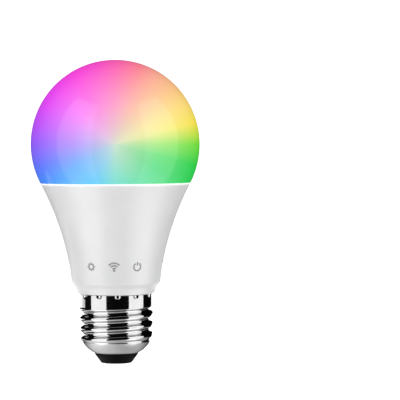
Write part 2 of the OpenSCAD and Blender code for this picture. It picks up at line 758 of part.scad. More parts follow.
module transformer_bobbin() {
    wall = 0.5;
    leg = [core_leg + 2 * fit, core_size[1] + 2 * fit];
    window_x = core_window[0] - 2 * fit;
    color("#2b2b2b") translate([transformer_at[0], transformer_y, transformer_at[1]]) difference() {
        union() {
            cube([leg[0] + 2 * wall, leg[1] + 2 * wall, core_window[1] - 2 * fit], center = true);
            for (side = [-1, 1])
                translate([0, 0, side * (core_window[1] / 2 - fit - wall / 2)])
                    cube([leg[0] + 2 * window_x - 2 * fit, bobbin_d, wall], center = true);
        }
        cube([leg[0], leg[1], core_window[1] + 1], center = true);
    }
}

module transformer_winding() {
    wall = 0.5;
    inner = [core_leg + 2 * fit + 2 * wall + fit, core_size[1] + 2 * fit + 2 * wall + fit];
    h = core_window[1] - 2 * fit - 2 * wall - 2 * fit;
    thick = core_window[0] - 4 * fit - wall;
    color("goldenrod") translate([transformer_at[0], transformer_y, transformer_at[1]]) difference() {
        cube([inner[0] + 2 * thick, inner[1] + 2 * thick, h], center = true);
        cube([inner[0], inner[1], h + 1], center = true);
    }
}

module output_capacitor() {
    color("#1d2433") translate([output_cap_at[0], driver_front - seat_gap, output_cap_at[1]])
        rotate([90, 0, 0]) capacitor_can(output_cap[0], output_cap[1]);
}

module input_capacitor() {
    color("#14161c") translate([0, driver_front - seat_gap - input_cap[0] / 2, input_cap_z])
        capacitor_can(input_cap[0], input_cap[1]);
}

module film_capacitor() {
    color("firebrick") on_front(film_at, film_size, seat_gap);
}

module choke_core() {
    waist = 1.5;
    color("#3a3a3a") translate([choke_at[0], driver_front - seat_gap, choke_at[1]]) rotate([90, 0, 0])
        rotate_extrude()
            polygon([[0, 0], [choke_r, 0], [choke_r, 1], [waist, 1], [waist, choke_h - 1],
                     [choke_r, choke_h - 1], [choke_r, choke_h], [0, choke_h]]);
}

module choke_winding() {
    color("peru") translate([choke_at[0], driver_front - seat_gap - 1 - fit / 2, choke_at[1]])
        rotate([90, 0, 0]) ring(1.5 + fit / 2, choke_r - 0.4, choke_h - 2 - fit);
}

module surge_varistor() {
    y = driver_back + varistor_gap + varistor_t;
    color("royalblue") translate([varistor_at[0], y, varistor_at[1]]) rotate([90, 0, 0])
        rotate_extrude()
            polygon([[0, 0], [varistor_r - 0.5, 0], [varistor_r, 0.5], [varistor_r, varistor_t - 0.5],
                     [varistor_r - 0.5, varistor_t], [0, varistor_t]]);
}

module fusible_resistor() {
    r = resistor_r;
    half = resistor_l / 2;
    color("tan") translate([resistor_at[0], resistor_y, resistor_at[1]]) rotate_extrude()
        polygon([[0, -half], [r - 0.2, -half], [r, 0.3 - half], [r, 1.6 - half], [r - 0.2, 1.9 - half],
                 [r - 0.2, half - 1.9], [r, half - 1.6], [r, half - 0.3], [r - 0.2, half], [0, half]]);
}

module bridge_rectifier() {
    color("#262626") on_back(rectifier_at, [4.6, 1.4, 4]);
    color("#262626") for (x = [-1.3, 1.3], z = [-2.5, 2.5])
        on_back(rectifier_at + [x, z], [0.8, 0.3, 1.1]);
}

module power_controller_chip() {
    color("#262626") translate([controller_at[0], driver_back, controller_at[1]]) rotate([-90, 0, 0])
        chip([4.9, 3.9, 1.5], 4);
}

module rectifier_diodes() {
    color("#2a2a2a") for (side = [-1, 1]) on_back([side * diode_at[0], diode_at[1]], [2.6, 2.1, 4.2]);
}

module chip_resistors() {
    upper = [for (i = [0:3]) [2.6 * i - 4.2, waist_z + 19.5]];
    lower = [for (i = [0:2]) [2.8 * i + 1.4, waist_z + 9.2]];
    color("#2b2b33") for (at = concat(upper, lower)) on_back(at, [2, 0.55, 1.25]);
}

module chip_capacitors() {
    color("burlywood") for (side = [-1, 1], row = [0, 1])
        on_back([side * 9.9, waist_z + 17 + 4.5 * row], [1.25, 0.9, 2]);
}

module live_wire() {
    color("crimson") wire(live_route, live_sizes, [3.75, 3, 0]);
}

module neutral_wire() {
    color("#3b3b3b") wire(neutral_route, neutral_sizes, [5, 5.9, 0]);
}

globe_diffuser();
sealant_ring();
housing();
heat_sink_cup();
thermal_compound();
led_board();
board_screws();
white_led_packages();
cool_phosphor_windows();
warm_phosphor_windows();
rgb_led_packages();
rgb_led_windows();
led_driver_chip();
link_socket();
link_header();
link_pins();
wifi_board();
wifi_shield_can();
wifi_antenna();
wifi_spacer();
wifi_pins();
driver_board();
transformer_core();
transformer_bobbin();
transformer_winding();
output_capacitor();
input_capacitor();
film_capacitor();
choke_core();
choke_winding();
surge_varistor();
fusible_resistor();
component_leads();
bridge_rectifier();
power_controller_chip();
rectifier_diodes();
chip_resistors();
chip_capacitors();
screw_shell();
base_insulator();
centre_contact();
contact_pin();
live_wire();
neutral_wire();
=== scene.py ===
import math

import bmesh
import bpy
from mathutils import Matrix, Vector


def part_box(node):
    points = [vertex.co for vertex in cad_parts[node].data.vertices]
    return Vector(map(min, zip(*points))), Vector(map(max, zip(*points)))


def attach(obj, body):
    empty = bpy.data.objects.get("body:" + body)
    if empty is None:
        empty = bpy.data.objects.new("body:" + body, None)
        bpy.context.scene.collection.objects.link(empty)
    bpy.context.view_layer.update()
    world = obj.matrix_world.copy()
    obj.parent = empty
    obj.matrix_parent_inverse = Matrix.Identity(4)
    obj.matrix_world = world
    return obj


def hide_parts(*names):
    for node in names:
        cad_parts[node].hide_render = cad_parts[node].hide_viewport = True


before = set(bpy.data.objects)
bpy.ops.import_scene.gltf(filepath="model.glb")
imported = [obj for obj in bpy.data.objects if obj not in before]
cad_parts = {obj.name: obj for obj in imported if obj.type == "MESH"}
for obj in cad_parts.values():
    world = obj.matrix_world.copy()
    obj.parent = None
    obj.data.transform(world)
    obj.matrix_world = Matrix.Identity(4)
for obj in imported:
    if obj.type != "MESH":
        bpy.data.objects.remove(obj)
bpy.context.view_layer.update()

# ---- Driver board -------------------------------------------------------------------------------
# Glass-epoxy board under a green solder mask, a thin glossy lacquer over etched copper. The copper
# shows through it as paler, slightly raised bands.

MM = 0.001


def srgb(code):
    """A colour written as six hex digits, turned to the linear values that shaders take."""
    parts = [int(code[i:i + 2], 16) / 255 for i in (0, 2, 4)]
    return (*[p / 12.92 if p <= 0.04045 else ((p + 0.055) / 1.055) ** 2.4 for p in parts], 1)


def add(tree, kind, inputs=(), stops=(), **settings):
    """Adds one node. An input is a value, a socket, or a node, which gives its first output. The
    stops of a colour ramp are places from 0 to 1 with their hex colours."""
    made = tree.nodes.new(kind)
    for key, value in settings.items():
        setattr(made, key, value)
    for key, value in dict(inputs).items():
        if isinstance(value, bpy.types.Node):
            value = value.outputs[0]
        if isinstance(value, bpy.types.NodeSocket):
            tree.links.new(value, made.inputs[key])
        else:
            made.inputs[key].default_value = value
    while stops and len(made.color_ramp.elements) < len(stops):
        made.color_ramp.elements.new(1)
    for i, (place, code) in enumerate(stops):
        made.color_ramp.elements[i].position = place
        made.color_ramp.elements[i].color = srgb(code)
    return made


def start_finish(name):
    """An empty material; gives it, its node tree and the piece's own coordinates."""
    made = bpy.data.materials.new(name)
    made.use_nodes = True
    made.node_tree.nodes.clear()
    return made, made.node_tree, add(made.node_tree, "ShaderNodeTexCoord").outputs["Object"]


def dress(finish, *nodes):
    """Gives CAD nodes a finish."""
    for name in nodes:
        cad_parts[name].material_slots[0].material = finish


def masked_board(name, mask, over_copper, track_mm):
    """Solder mask over etched copper tracks track_mm wide."""
    made, tree, where = start_finish(name)
    tracks = add(tree, "ShaderNodeTexBrick", {
        "Vector": where, "Color1": srgb(mask), "Color2": srgb(mask), "Mortar": srgb(over_copper),
        "Scale": 1 / (track_mm * MM), "Mortar Size": 0.25, "Brick Width": 4, "Row Height": 2.2})
    raised = add(tree, "ShaderNodeBump", {"Height": tracks.outputs["Fac"], "Distance": 0.03 * MM})
    shader = add(tree, "ShaderNodeBsdfPrincipled", {
        "Base Color": tracks.outputs["Color"], "Roughness": 0.3, "IOR": 1.55, "Normal": raised})
    add(tree, "ShaderNodeOutputMaterial", {"Surface": shader})
    return made


dress(masked_board("green solder mask", "0b4a22", "1d7a3c", 0.8), "driver_board")

# ---- Flyback transformer and filter choke -------------------------------------------------------
# Pressed and ground ferrite, dark grey and slightly grainy. The transformer's phenolic bobbin has
# its winding under yellow polyester tape; the choke's winding is bare enamelled copper.


def speckled(name, base, fleck, size_mm, depth_mm, roughness):
    """A moulded, pressed or cast surface: two close tones in blotches, with a matching relief."""
    made, tree, where = start_finish(name)
    blotches = add(tree, "ShaderNodeTexNoise", {"Vector": where, "Scale": 1 / (size_mm * MM), "Detail": 4.0})
    tone = add(tree, "ShaderNodeValToRGB", {0: blotches}, stops=[(0.35, base), (0.7, fleck)])
    raised = add(tree, "ShaderNodeBump", {"Height": blotches, "Distance": depth_mm * MM})
    shader = add(tree, "ShaderNodeBsdfPrincipled", {
        "Base Color": tone, "Roughness": roughness, "Normal": raised})
    add(tree, "ShaderNodeOutputMaterial", {"Surface": shader})
    return made


dress(speckled("ground ferrite", "1b1b1d", "2c2c2e", 0.15, 0.01, 0.55), "transformer_core", "choke_core")
dress(speckled("moulded phenolic", "17110d", "241a13", 0.3, 0.01, 0.45), "transformer_bobbin")


def taped_winding():
    """Polyester tape wound in overlapping turns, which show as faint steps round the winding."""
    made, tree, where = start_finish("yellow polyester tape")
    # Each turn leaves 1.78 mm of the one below in sight. The wave's phase is 20 times its scale
    turns = add(tree, "ShaderNodeTexWave", {
        "Vector": where, "Scale": math.tau / (20 * 1.78 * MM), "Distortion": 0.4},
        bands_direction="Z", wave_profile="SAW")
    steps = turns.outputs["Fac"]
    tone = add(tree, "ShaderNodeValToRGB", {0: steps}, stops=[(0, "c99a14"), (1, "e2b62a")])
    raised = add(tree, "ShaderNodeBump", {"Height": steps, "Distance": 0.04 * MM})
    shader = add(tree, "ShaderNodeBsdfPrincipled", {
        "Base Color": tone, "Roughness": 0.22, "Coat Weight": 0.3, "Normal": raised})
    add(tree, "ShaderNodeOutputMaterial", {"Surface": shader})
    return made


dress(taped_winding(), "transformer_winding")


def enamelled_copper():
    """Copper wire under clear brown enamel: metal seen through a glossy coat."""
    made, tree, where = start_finish("enamelled copper")
    blotches = add(tree, "ShaderNodeTexNoise", {"Vector": where, "Scale": 1 / (0.5 * MM)})
    tone = add(tree, "ShaderNodeValToRGB", {0: blotches}, stops=[(0.3, "a4532a"), (0.7, "c9743c")])
    shader = add(tree, "ShaderNodeBsdfPrincipled", {
        "Base Color": tone, "Metallic": 1.0, "Roughness": 0.28, "Coat Weight": 0.6})
    add(tree, "ShaderNodeOutputMaterial", {"Surface": shader})
    return made


def geometry_tree(name, values):
    """A geometry tree with a named input for each value; gives it and those inputs' sockets."""
    kinds = {int: "Int", float: "Float", Vector: "Vector", bpy.types.Material: "Material",
             bpy.types.Object: "Object"}
    tree = bpy.data.node_groups.new(name, "GeometryNodeTree")
    for key, value in values.items():
        tree.interface.new_socket(key, in_out="INPUT", socket_type="NodeSocket" + kinds[type(value)])
    tree.interface.new_socket("Geometry", in_out="OUTPUT", socket_type="NodeSocketGeometry")
    return tree, add(tree, "NodeGroupInput").outputs


def baked(tree, values):
    """Runs a geometry tree on an empty mesh with its values and keeps the result as a plain mesh."""
    holder = bpy.data.objects.new(tree.name, bpy.data.meshes.new(tree.name))
    bpy.context.scene.collection.objects.link(holder)
    modifier = holder.modifiers.new(tree.name, "NODES")
    modifier.node_group = tree
    for socket in tree.interface.items_tree:
        if socket.in_out == "INPUT":
            modifier[socket.identifier] = values[socket.name]
    evaluated = holder.evaluated_get(bpy.context.evaluated_depsgraph_get())
    result = bpy.data.meshes.new_from_object(evaluated)
    bpy.data.objects.remove(holder)
    return result


def piece(name, mesh, finish, slot, *nodes):
    """Adds a mesh to the lamp with its finish, and hides the CAD nodes that it stands for. The slot is not
    used.
    """
    made = bpy.data.objects.new(name, mesh)
    bpy.context.scene.collection.objects.link(made)
    mesh.materials.clear()
    mesh.materials.append(finish)
    mesh.shade_smooth()
    mesh.set_sharp_from_angle(angle=math.radians(38))
    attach(made, "root")
    if nodes:
        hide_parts(*nodes)
    return made


def choke_turns():
    """Enamelled wire wound in one layer on the choke's waist, one wire's width from turn to turn."""
    low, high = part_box("choke_winding")
    wire_d = 0.42 * MM
    finish = enamelled_copper()
    length = high.y - low.y - wire_d
    values = {"Turns": length / wire_d, "Length": length, "Helix radius": (high.x - low.x - wire_d) / 2,
              "Wire radius": wire_d / 2, "Finish": finish,
              "Start": Vector(((low.x + high.x) / 2, high.y - wire_d / 2, (low.z + high.z) / 2))}
    tree, given = geometry_tree("choke winding", values)
    helix = add(tree, "GeometryNodeCurveSpiral", {
        "Resolution": 24, "Rotations": given["Turns"], "Start Radius": given["Helix radius"],
        "End Radius": given["Helix radius"], "Height": given["Length"]})
    section = add(tree, "GeometryNodeCurvePrimitiveCircle", {"Resolution": 8, "Radius": given["Wire radius"]})
    swept = add(tree, "GeometryNodeCurveToMesh", {
        "Curve": helix, "Profile Curve": section, "Fill Caps": True})
    laid = add(tree, "GeometryNodeTransform", {
        "Geometry": swept, "Translation": given["Start"], "Rotation": (math.pi / 2, 0, 0)})
    plain = add(tree, "GeometryNodeRealizeInstances", {0: laid})
    coated = add(tree, "GeometryNodeSetMaterial", {"Geometry": plain, "Material": given["Finish"]})
    add(tree, "NodeGroupOutput", {0: coated})
    piece("choke_wire_turns", baked(tree, values), finish, "enamelled_copper", "choke_winding")


choke_turns()

# ---- Capacitors, varistor and resistor ----------------------------------------------------------
# Aluminium cans in a dark printed shrink sleeve with a pale stripe on the negative side, a dipped
# red film capacitor, a dipped blue varistor, and a resistor in flameproof paint with colour bands.


def sleeved_can(can, axis):
    """Shrink sleeve, glossy and slightly wrinkled, with its stripe on one side of the can's axis."""
    made, tree, where = start_finish("shrink sleeve of " + can)
    middle = sum(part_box(can), Vector()) / 2
    local = add(tree, "ShaderNodeVectorMath", {0: where, 1: middle}, operation="SUBTRACT")
    parts = add(tree, "ShaderNodeSeparateXYZ", {0: local})
    across = [parts.outputs[i] for i in range(3) if i != axis]
    turn = add(tree, "ShaderNodeMath", {0: across[0], 1: across[1]}, operation="ARCTAN2")
    place = add(tree, "ShaderNodeMapRange", {0: turn, 1: -math.pi, 2: math.pi})
    sleeve = add(tree, "ShaderNodeValToRGB", {0: place}, stops=[
        (0, "0e1526"), (0.42, "101a30"), (0.43, "aeb4be"), (0.57, "aeb4be"), (0.58, "101a30")])
    wrinkles = add(tree, "ShaderNodeTexNoise", {"Vector": where, "Scale": 1 / (0.8 * MM)})
    raised = add(tree, "ShaderNodeBump", {"Height": wrinkles, "Distance": 0.02 * MM})
    shader = add(tree, "ShaderNodeBsdfPrincipled", {
        "Base Color": sleeve, "Roughness": 0.25, "IOR": 1.53, "Normal": raised})
    add(tree, "ShaderNodeOutputMaterial", {"Surface": shader})
    return made


for can, axis in (("input_capacitor", 2), ("output_capacitor", 1)):
    dress(sleeved_can(can, axis), can)
dress(speckled("red dipped epoxy", "8e1a10", "a3241a", 1.2, 0.03, 0.22), "film_capacitor")
dress(speckled("blue dipped epoxy", "123f8c", "1a50a8", 1.2, 0.04, 0.25), "surge_varistor")


def banded_resistor():
    """Flameproof grey-blue paint with bands fired round the body."""
    made, tree, where = start_finish("flameproof paint")
    low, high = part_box("fusible_resistor")
    height = add(tree, "ShaderNodeSeparateXYZ", {0: where}).outputs["Z"]
    along = add(tree, "ShaderNodeMapRange", {0: height, 1: low.z, 2: high.z})
    bands = add(tree, "ShaderNodeValToRGB", {0: along}, stops=[
        (0, "5b8089"), (0.22, "7a2d10"), (0.3, "5b8089"), (0.4, "111111"), (0.48, "5b8089"),
        (0.58, "c9b23a"), (0.66, "5b8089"), (0.8, "b98a2e"), (0.88, "5b8089")])
    bands.color_ramp.interpolation = "CONSTANT"
    grit = add(tree, "ShaderNodeTexNoise", {"Vector": where, "Scale": 1 / (0.2 * MM)})
    raised = add(tree, "ShaderNodeBump", {"Height": grit, "Distance": 0.01 * MM})
    shader = add(tree, "ShaderNodeBsdfPrincipled", {"Base Color": bands, "Roughness": 0.5, "Normal": raised})
    add(tree, "ShaderNodeOutputMaterial", {"Surface": shader})
    return made


dress(banded_resistor(), "fusible_resistor")

# ---- Legs, chips and solder ---------------------------------------------------------------------
# Tinned legs and soldered joints, dull silver. Chips are black epoxy moulded against a matt tool,
# chip resistors have a dark glass top, and chip capacitors are bare fired ceramic.


def plated(name, base, deep, roughness, grain_mm):
    """Plated or drawn metal: clear reflections, slightly broken by its grain."""
    made, tree, where = start_finish(name)
    grains = add(tree, "ShaderNodeTexNoise", {"Vector": where, "Scale": 1 / (grain_mm * MM), "Detail": 3.0})
    tone = add(tree, "ShaderNodeValToRGB", {0: grains}, stops=[(0.3, deep), (0.7, base)])
    rough = add(tree, "ShaderNodeMapRange", {0: grains, 3: roughness * 0.7, 4: roughness * 1.3})
    raised = add(tree, "ShaderNodeBump", {"Height": grains, "Distance": 0.004 * MM})
    shader = add(tree, "ShaderNodeBsdfPrincipled", {
        "Base Color": tone, "Metallic": 1.0, "Roughness": rough, "Normal": raised})
    add(tree, "ShaderNodeOutputMaterial", {"Surface": shader})
    return made


dress(plated("tin plating", "c9c8c4", "aeada8", 0.35, 0.2), "component_leads", "wifi_shield_can")
dress(speckled("black moulded epoxy", "111112", "1c1c1e", 0.12, 0.01, 0.5), "bridge_rectifier",
      "power_controller_chip", "rectifier_diodes", "led_driver_chip")
dress(speckled("glazed chip resistor", "15151a", "23232b", 0.4, 0.01, 0.2), "chip_resistors")
dress(speckled("fired chip ceramic", "8d6a48", "a8835c", 0.25, 0.01, 0.6), "chip_capacitors")


def leg_places():
    """A point on the board's back for each leg that comes through it."""
    board_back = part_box("driver_board")[1].y
    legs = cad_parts["component_leads"].data.vertices
    grid = 0.5 * MM
    leg_d = 1.2 * MM
    behind = {(round(v.co.x / grid), round(v.co.z / grid)) for v in legs if v.co.y > board_back + 0.1 * MM}
    places = []
    for x, z in sorted(behind):
        point = Vector((x * grid, board_back, z * grid))
        if all((point - other).length > leg_d for other in places):
            places.append(point)
    return places


def solder_joints():
    """A cone of solder round each leg behind the board, drawn up the leg as it wets."""
    seeds = bpy.data.meshes.new("solder places")
    seeds.from_pydata(leg_places(), [], [])
    holder = bpy.data.objects.new("solder places", seeds)
    bpy.context.scene.collection.objects.link(holder)
    finish = plated("soldered tin", "cfcdc8", "b3b1ab", 0.25, 0.3)
    values = {"Places": holder, "Foot": 0.62 * MM, "Neck": 0.33 * MM, "Rise": 0.45 * MM, "Finish": finish}
    tree, given = geometry_tree("solder joints", values)
    spots = add(tree, "GeometryNodeObjectInfo", {"Object": given["Places"]}).outputs["Geometry"]
    cone = add(tree, "GeometryNodeMeshCone", {
        "Vertices": 12, "Radius Top": given["Neck"], "Radius Bottom": given["Foot"], "Depth": given["Rise"]})
    turned_back = add(tree, "GeometryNodeTransform", {"Geometry": cone, "Rotation": (-math.pi / 2, 0, 0)})
    spread = add(tree, "GeometryNodeInstanceOnPoints", {"Points": spots, "Instance": turned_back})
    plain = add(tree, "GeometryNodeRealizeInstances", {0: spread})
    coated = add(tree, "GeometryNodeSetMaterial", {"Geometry": plain, "Material": given["Finish"]})
    add(tree, "NodeGroupOutput", {0: coated})
    mesh = baked(tree, values)
    bpy.data.objects.remove(holder)
    piece("solder_joints", mesh, finish, "tin_plate")


solder_joints()

# ---- Mains leads --------------------------------------------------------------------------------
# Stranded copper in PVC, red to the centre contact and black to the shell. The PVC is satin, with
# the faint mottling of extrusion.

dress(speckled("red extruded PVC", "9c1414", "b01c1a", 0.9, 0.01, 0.38), "live_wire")
dress(speckled("black extruded PVC", "121214", "1d1d20", 0.9, 0.01, 0.38), "neutral_wire")

# ---- Base of the cap ----------------------------------------------------------------------------
# Black thermoset insulator moulded into the shell's lower lip, with a nickel-plated eyelet under
# it. The live lead is held in the eyelet by a pin with a flat head, pressed up from below.


def in_mm(node):
    """A round CAD node's radius, lowest height and highest height, in millimetres."""
    low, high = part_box(node)
    return min(high.x, high.y) / MM, low.z / MM, high.z / MM


def rounded(points, cuts, steps=4):
    """An outline with its corners turned to short curves: each cut is how far back one starts."""
    outline = []
    for i, point in enumerate(points):
        here = Vector(point)
        before, after = Vector(points[i - 1]), Vector(points[(i + 1) % len(points)])
        start = here + (before - here).normalized() * cuts[i]
        end = here + (after - here).normalized() * cuts[i]
        for k in range(steps + 1 if cuts[i] else 1):
            t = k / steps
            outline.append(tuple(start * (1 - t) ** 2 + here * 2 * t * (1 - t) + end * t ** 2))
    return outline


def turned(name, outline, sides=160):
    """A closed outline of (radius, height) in millimetres, turned round the lamp's axis."""
    work = bmesh.new()
    angles = [math.tau * k / sides for k in range(sides)]
    rings = []
    for radius, height in outline:
        if radius < 1e-6:
            rings.append([work.verts.new((0, 0, height * MM))] * sides)
            continue
        rings.append([work.verts.new((radius * MM * math.cos(a), radius * MM * math.sin(a), height * MM))
                      for a in angles])
    for i, ring in enumerate(rings):
        above = rings[(i + 1) % len(rings)]
        for k in range(sides):
            corners = (ring[k], ring[(k + 1) % sides], above[(k + 1) % sides], above[k])
            distinct = list(dict.fromkeys(corners))
            if len(distinct) > 2:
                work.faces.new(distinct)
    bmesh.ops.recalc_face_normals(work, faces=work.faces)
    mesh = bpy.data.meshes.new(name)
    work.to_mesh(mesh)
    work.free()
    return mesh


def arc(centre, radius, start, end, steps):
    """Points along an arc; angles from the outward direction towards the upward one."""
    turns = [start + (end - start) * k / steps for k in range(steps + 1)]
    return [(centre[0] + radius * math.cos(a), centre[1] + radius * math.sin(a)) for a in turns]


SHELL_T = 0.35
SHELL_LOW_Z, SHELL_TOP_Z = in_mm("screw_shell")[1:]
LIP_R = 7.8
LIP_TOP_R, LIP_TOP_Z = 12.2, 8.0
LIP_ARC_R = 9.3


def lip_arc():
    """Centre of the arc that the shell's lower lip follows, and its angles at the lip's top and edge."""
    top, edge = Vector((LIP_TOP_R, LIP_TOP_Z)), Vector((LIP_R, SHELL_LOW_Z))
    chord = edge - top
    inward = Vector((chord.y, -chord.x)).normalized()
    centre = (top + edge) / 2 + inward * math.sqrt(LIP_ARC_R ** 2 - (chord.length / 2) ** 2)
    return centre, [math.atan2(p.y - centre.y, p.x - centre.x) for p in (top, edge)]


def black_thermoset():
    """Glass-filled thermoset, deep black and dull, with a fine mottle left by the filler."""
    made, tree, where = start_finish("moulded black thermoset")
    filler = add(tree, "ShaderNodeTexNoise", {"Vector": where, "Scale": 1 / (0.5 * MM), "Detail": 5.0})
    tone = add(tree, "ShaderNodeValToRGB", {0: filler}, stops=[(0.3, "060607"), (0.8, "0d0d0e")])
    raised = add(tree, "ShaderNodeBump", {"Height": filler, "Distance": 0.012 * MM})
    shader = add(tree, "ShaderNodeBsdfPrincipled", {
        "Base Color": tone, "Roughness": 0.4, "Specular IOR Level": 0.03, "Normal": raised})
    add(tree, "ShaderNodeOutputMaterial", {"Surface": shader})
    return made


def insulator():
    """The black cone under the lip, and the disc that grips the lip from inside."""
    centre, (_, edge_angle) = lip_arc()
    foot_z, top_z = in_mm("base_insulator")[1:]
    foot_r, recess_r, recess_z = 5.5, 4.8, 0.7
    hole_r = 1.78
    disc_t = 0.9
    fit = 0.1
    start = math.asin((top_z - disc_t - centre.y) / LIP_ARC_R)
    seat = arc(centre, LIP_ARC_R - SHELL_T - fit, edge_angle, start, 10)
    profile = [(hole_r, recess_z), (recess_r, recess_z), (recess_r, foot_z), (foot_r - fit, foot_z),
               (LIP_R, SHELL_LOW_Z - 0.35), (LIP_R, SHELL_LOW_Z - fit),
               (seat[0][0] - 0.08, SHELL_LOW_Z - fit), seat[0]]
    outline = rounded(profile, [0, 0, 0.06, 0.45, 0.1, 0.04, 0, 0]) + seat[1:]
    outline += [(seat[-1][0], top_z), (hole_r, top_z)]
    piece("moulded_black_insulator", turned("insulator", outline), black_thermoset(), "black_insulator",
          "base_insulator")


insulator()


def eyelet_and_pin():
    """Pressed eyelet with a rolled edge, and the flat-headed pin in it."""
    finish = plated("nickel plate on brass", "cfccc4", "b9b5ab", 0.22, 0.6)
    disc_r, low, high = in_mm("centre_contact")
    disc_t = 0.44
    bore_r, tube_r = 1.46, 1.69
    disc = [(bore_r, low), (disc_r, low), (disc_r, low + disc_t), (tube_r, low + disc_t), (tube_r, high),
            (bore_r, high)]
    piece("pressed_eyelet", turned("eyelet", rounded(disc, [0, 0.2, 0.1, 0, 0, 0]), 96), finish,
          "contact_nickel", "centre_contact")
    head_r, low, high = in_mm("contact_pin")
    head_t = 0.24
    shank_r = 0.84
    pin = [(0, low), (head_r, low), (head_r, low + head_t), (shank_r, low + head_t), (shank_r, high - 1.2),
           (0.2, high), (0, high)]
    piece("flat_headed_pin", turned("pin", rounded(pin, [0, 0.12, 0.06, 0, 0, 0.1, 0]), 64), finish,
          "contact_nickel", "contact_pin")


eyelet_and_pin()

# ---- Screw shell --------------------------------------------------------------------------------
# Brass sheet, drawn to a cup, its thread rolled in, then plated with bright nickel, so it mirrors
# the room. Its top edge is punched into the neck's groove in twelve places, which leave dimples.


def bright_nickel():
    """Mirror-bright plating over fine rolling lines that run round the shell, duller on the lip."""
    dull_z, bright_z = 7.6, 8.8
    made, tree, where = start_finish("bright nickel plate")
    height = add(tree, "ShaderNodeSeparateXYZ", {0: where}).outputs["Z"]
    # Rolling lines are a few hundredths of a millimetre apart; drawn at 0.3 mm so that they show
    stretch = add(tree, "ShaderNodeMapping", {"Vector": where, "Scale": (0.15, 0.15, 1.0)})
    lines = add(tree, "ShaderNodeTexNoise", {"Vector": stretch, "Scale": 1 / (0.3 * MM), "Detail": 3.0})
    cloud = add(tree, "ShaderNodeTexNoise", {"Vector": where, "Scale": 1 / (3 * MM)})
    tone = add(tree, "ShaderNodeValToRGB", {0: cloud}, stops=[(0.3, "acacac"), (0.7, "b4b4b4")])
    duller = add(tree, "ShaderNodeMapRange", {0: height, 1: dull_z * MM, 2: bright_z * MM, 3: 0.3, 4: 0.06})
    uneven = add(tree, "ShaderNodeMapRange", {0: lines, 3: -0.02, 4: 0.03})
    rough = add(tree, "ShaderNodeMath", {0: duller, 1: uneven}, operation="ADD")
    raised = add(tree, "ShaderNodeBump", {"Height": lines, "Distance": 0.003 * MM})
    shader = add(tree, "ShaderNodeBsdfPrincipled", {
        "Base Color": tone, "Metallic": 1.0, "Roughness": rough, "Normal": raised})
    add(tree, "ShaderNodeOutputMaterial", {"Surface": shader})
    return made


def shell_sizes():
    """The rolled shell's sizes in metres and radians; a height is above the contact."""
    top, thread_top, lead_in = SHELL_TOP_Z, SHELL_TOP_Z - 4.4, 1.0
    depth, pitch, crest_at_left = 1.08, 3.629, 15.95
    collar_r, punches, first_punch = 13.05, 12, math.radians(4.7)
    centre, (start, edge) = lip_arc()
    straight = top - LIP_TOP_Z
    lengths = {
        "Top": top, "Straight length": straight, "Length": straight + (start - edge) * LIP_ARC_R,
        "Thread top": thread_top, "Full thread top": thread_top - lead_in,
        "Full thread bottom": LIP_TOP_Z + lead_in, "Lip top": LIP_TOP_Z, "Lip start radius": LIP_TOP_R,
        "Crest radius": 13.2, "Collar radius": collar_r, "Depth": depth, "Pitch": pitch,
        "Half pitch": pitch / 2, "Quarter pitch": pitch / 4, "First crest": crest_at_left - pitch / 2,
        "Thread arc radius": (depth ** 2 + (pitch / 2) ** 2) / (4 * depth),
        "Girth": math.tau * collar_r, "First punch": first_punch * collar_r,
        "Half punch spacing": math.pi * collar_r / punches, "Punch drop": 0.45, "Punch flat": 0.36,
        "Punch reach": 1.2, "Punch depth": 0.45, "Lip arc radius": LIP_ARC_R,
        "Lip centre radius": centre.x, "Lip centre height": centre.y, "Weld": 0.001}
    return {**{key: value * MM for key, value in lengths.items()}, "Lip start angle": start,
            "Lip edge angle": edge}


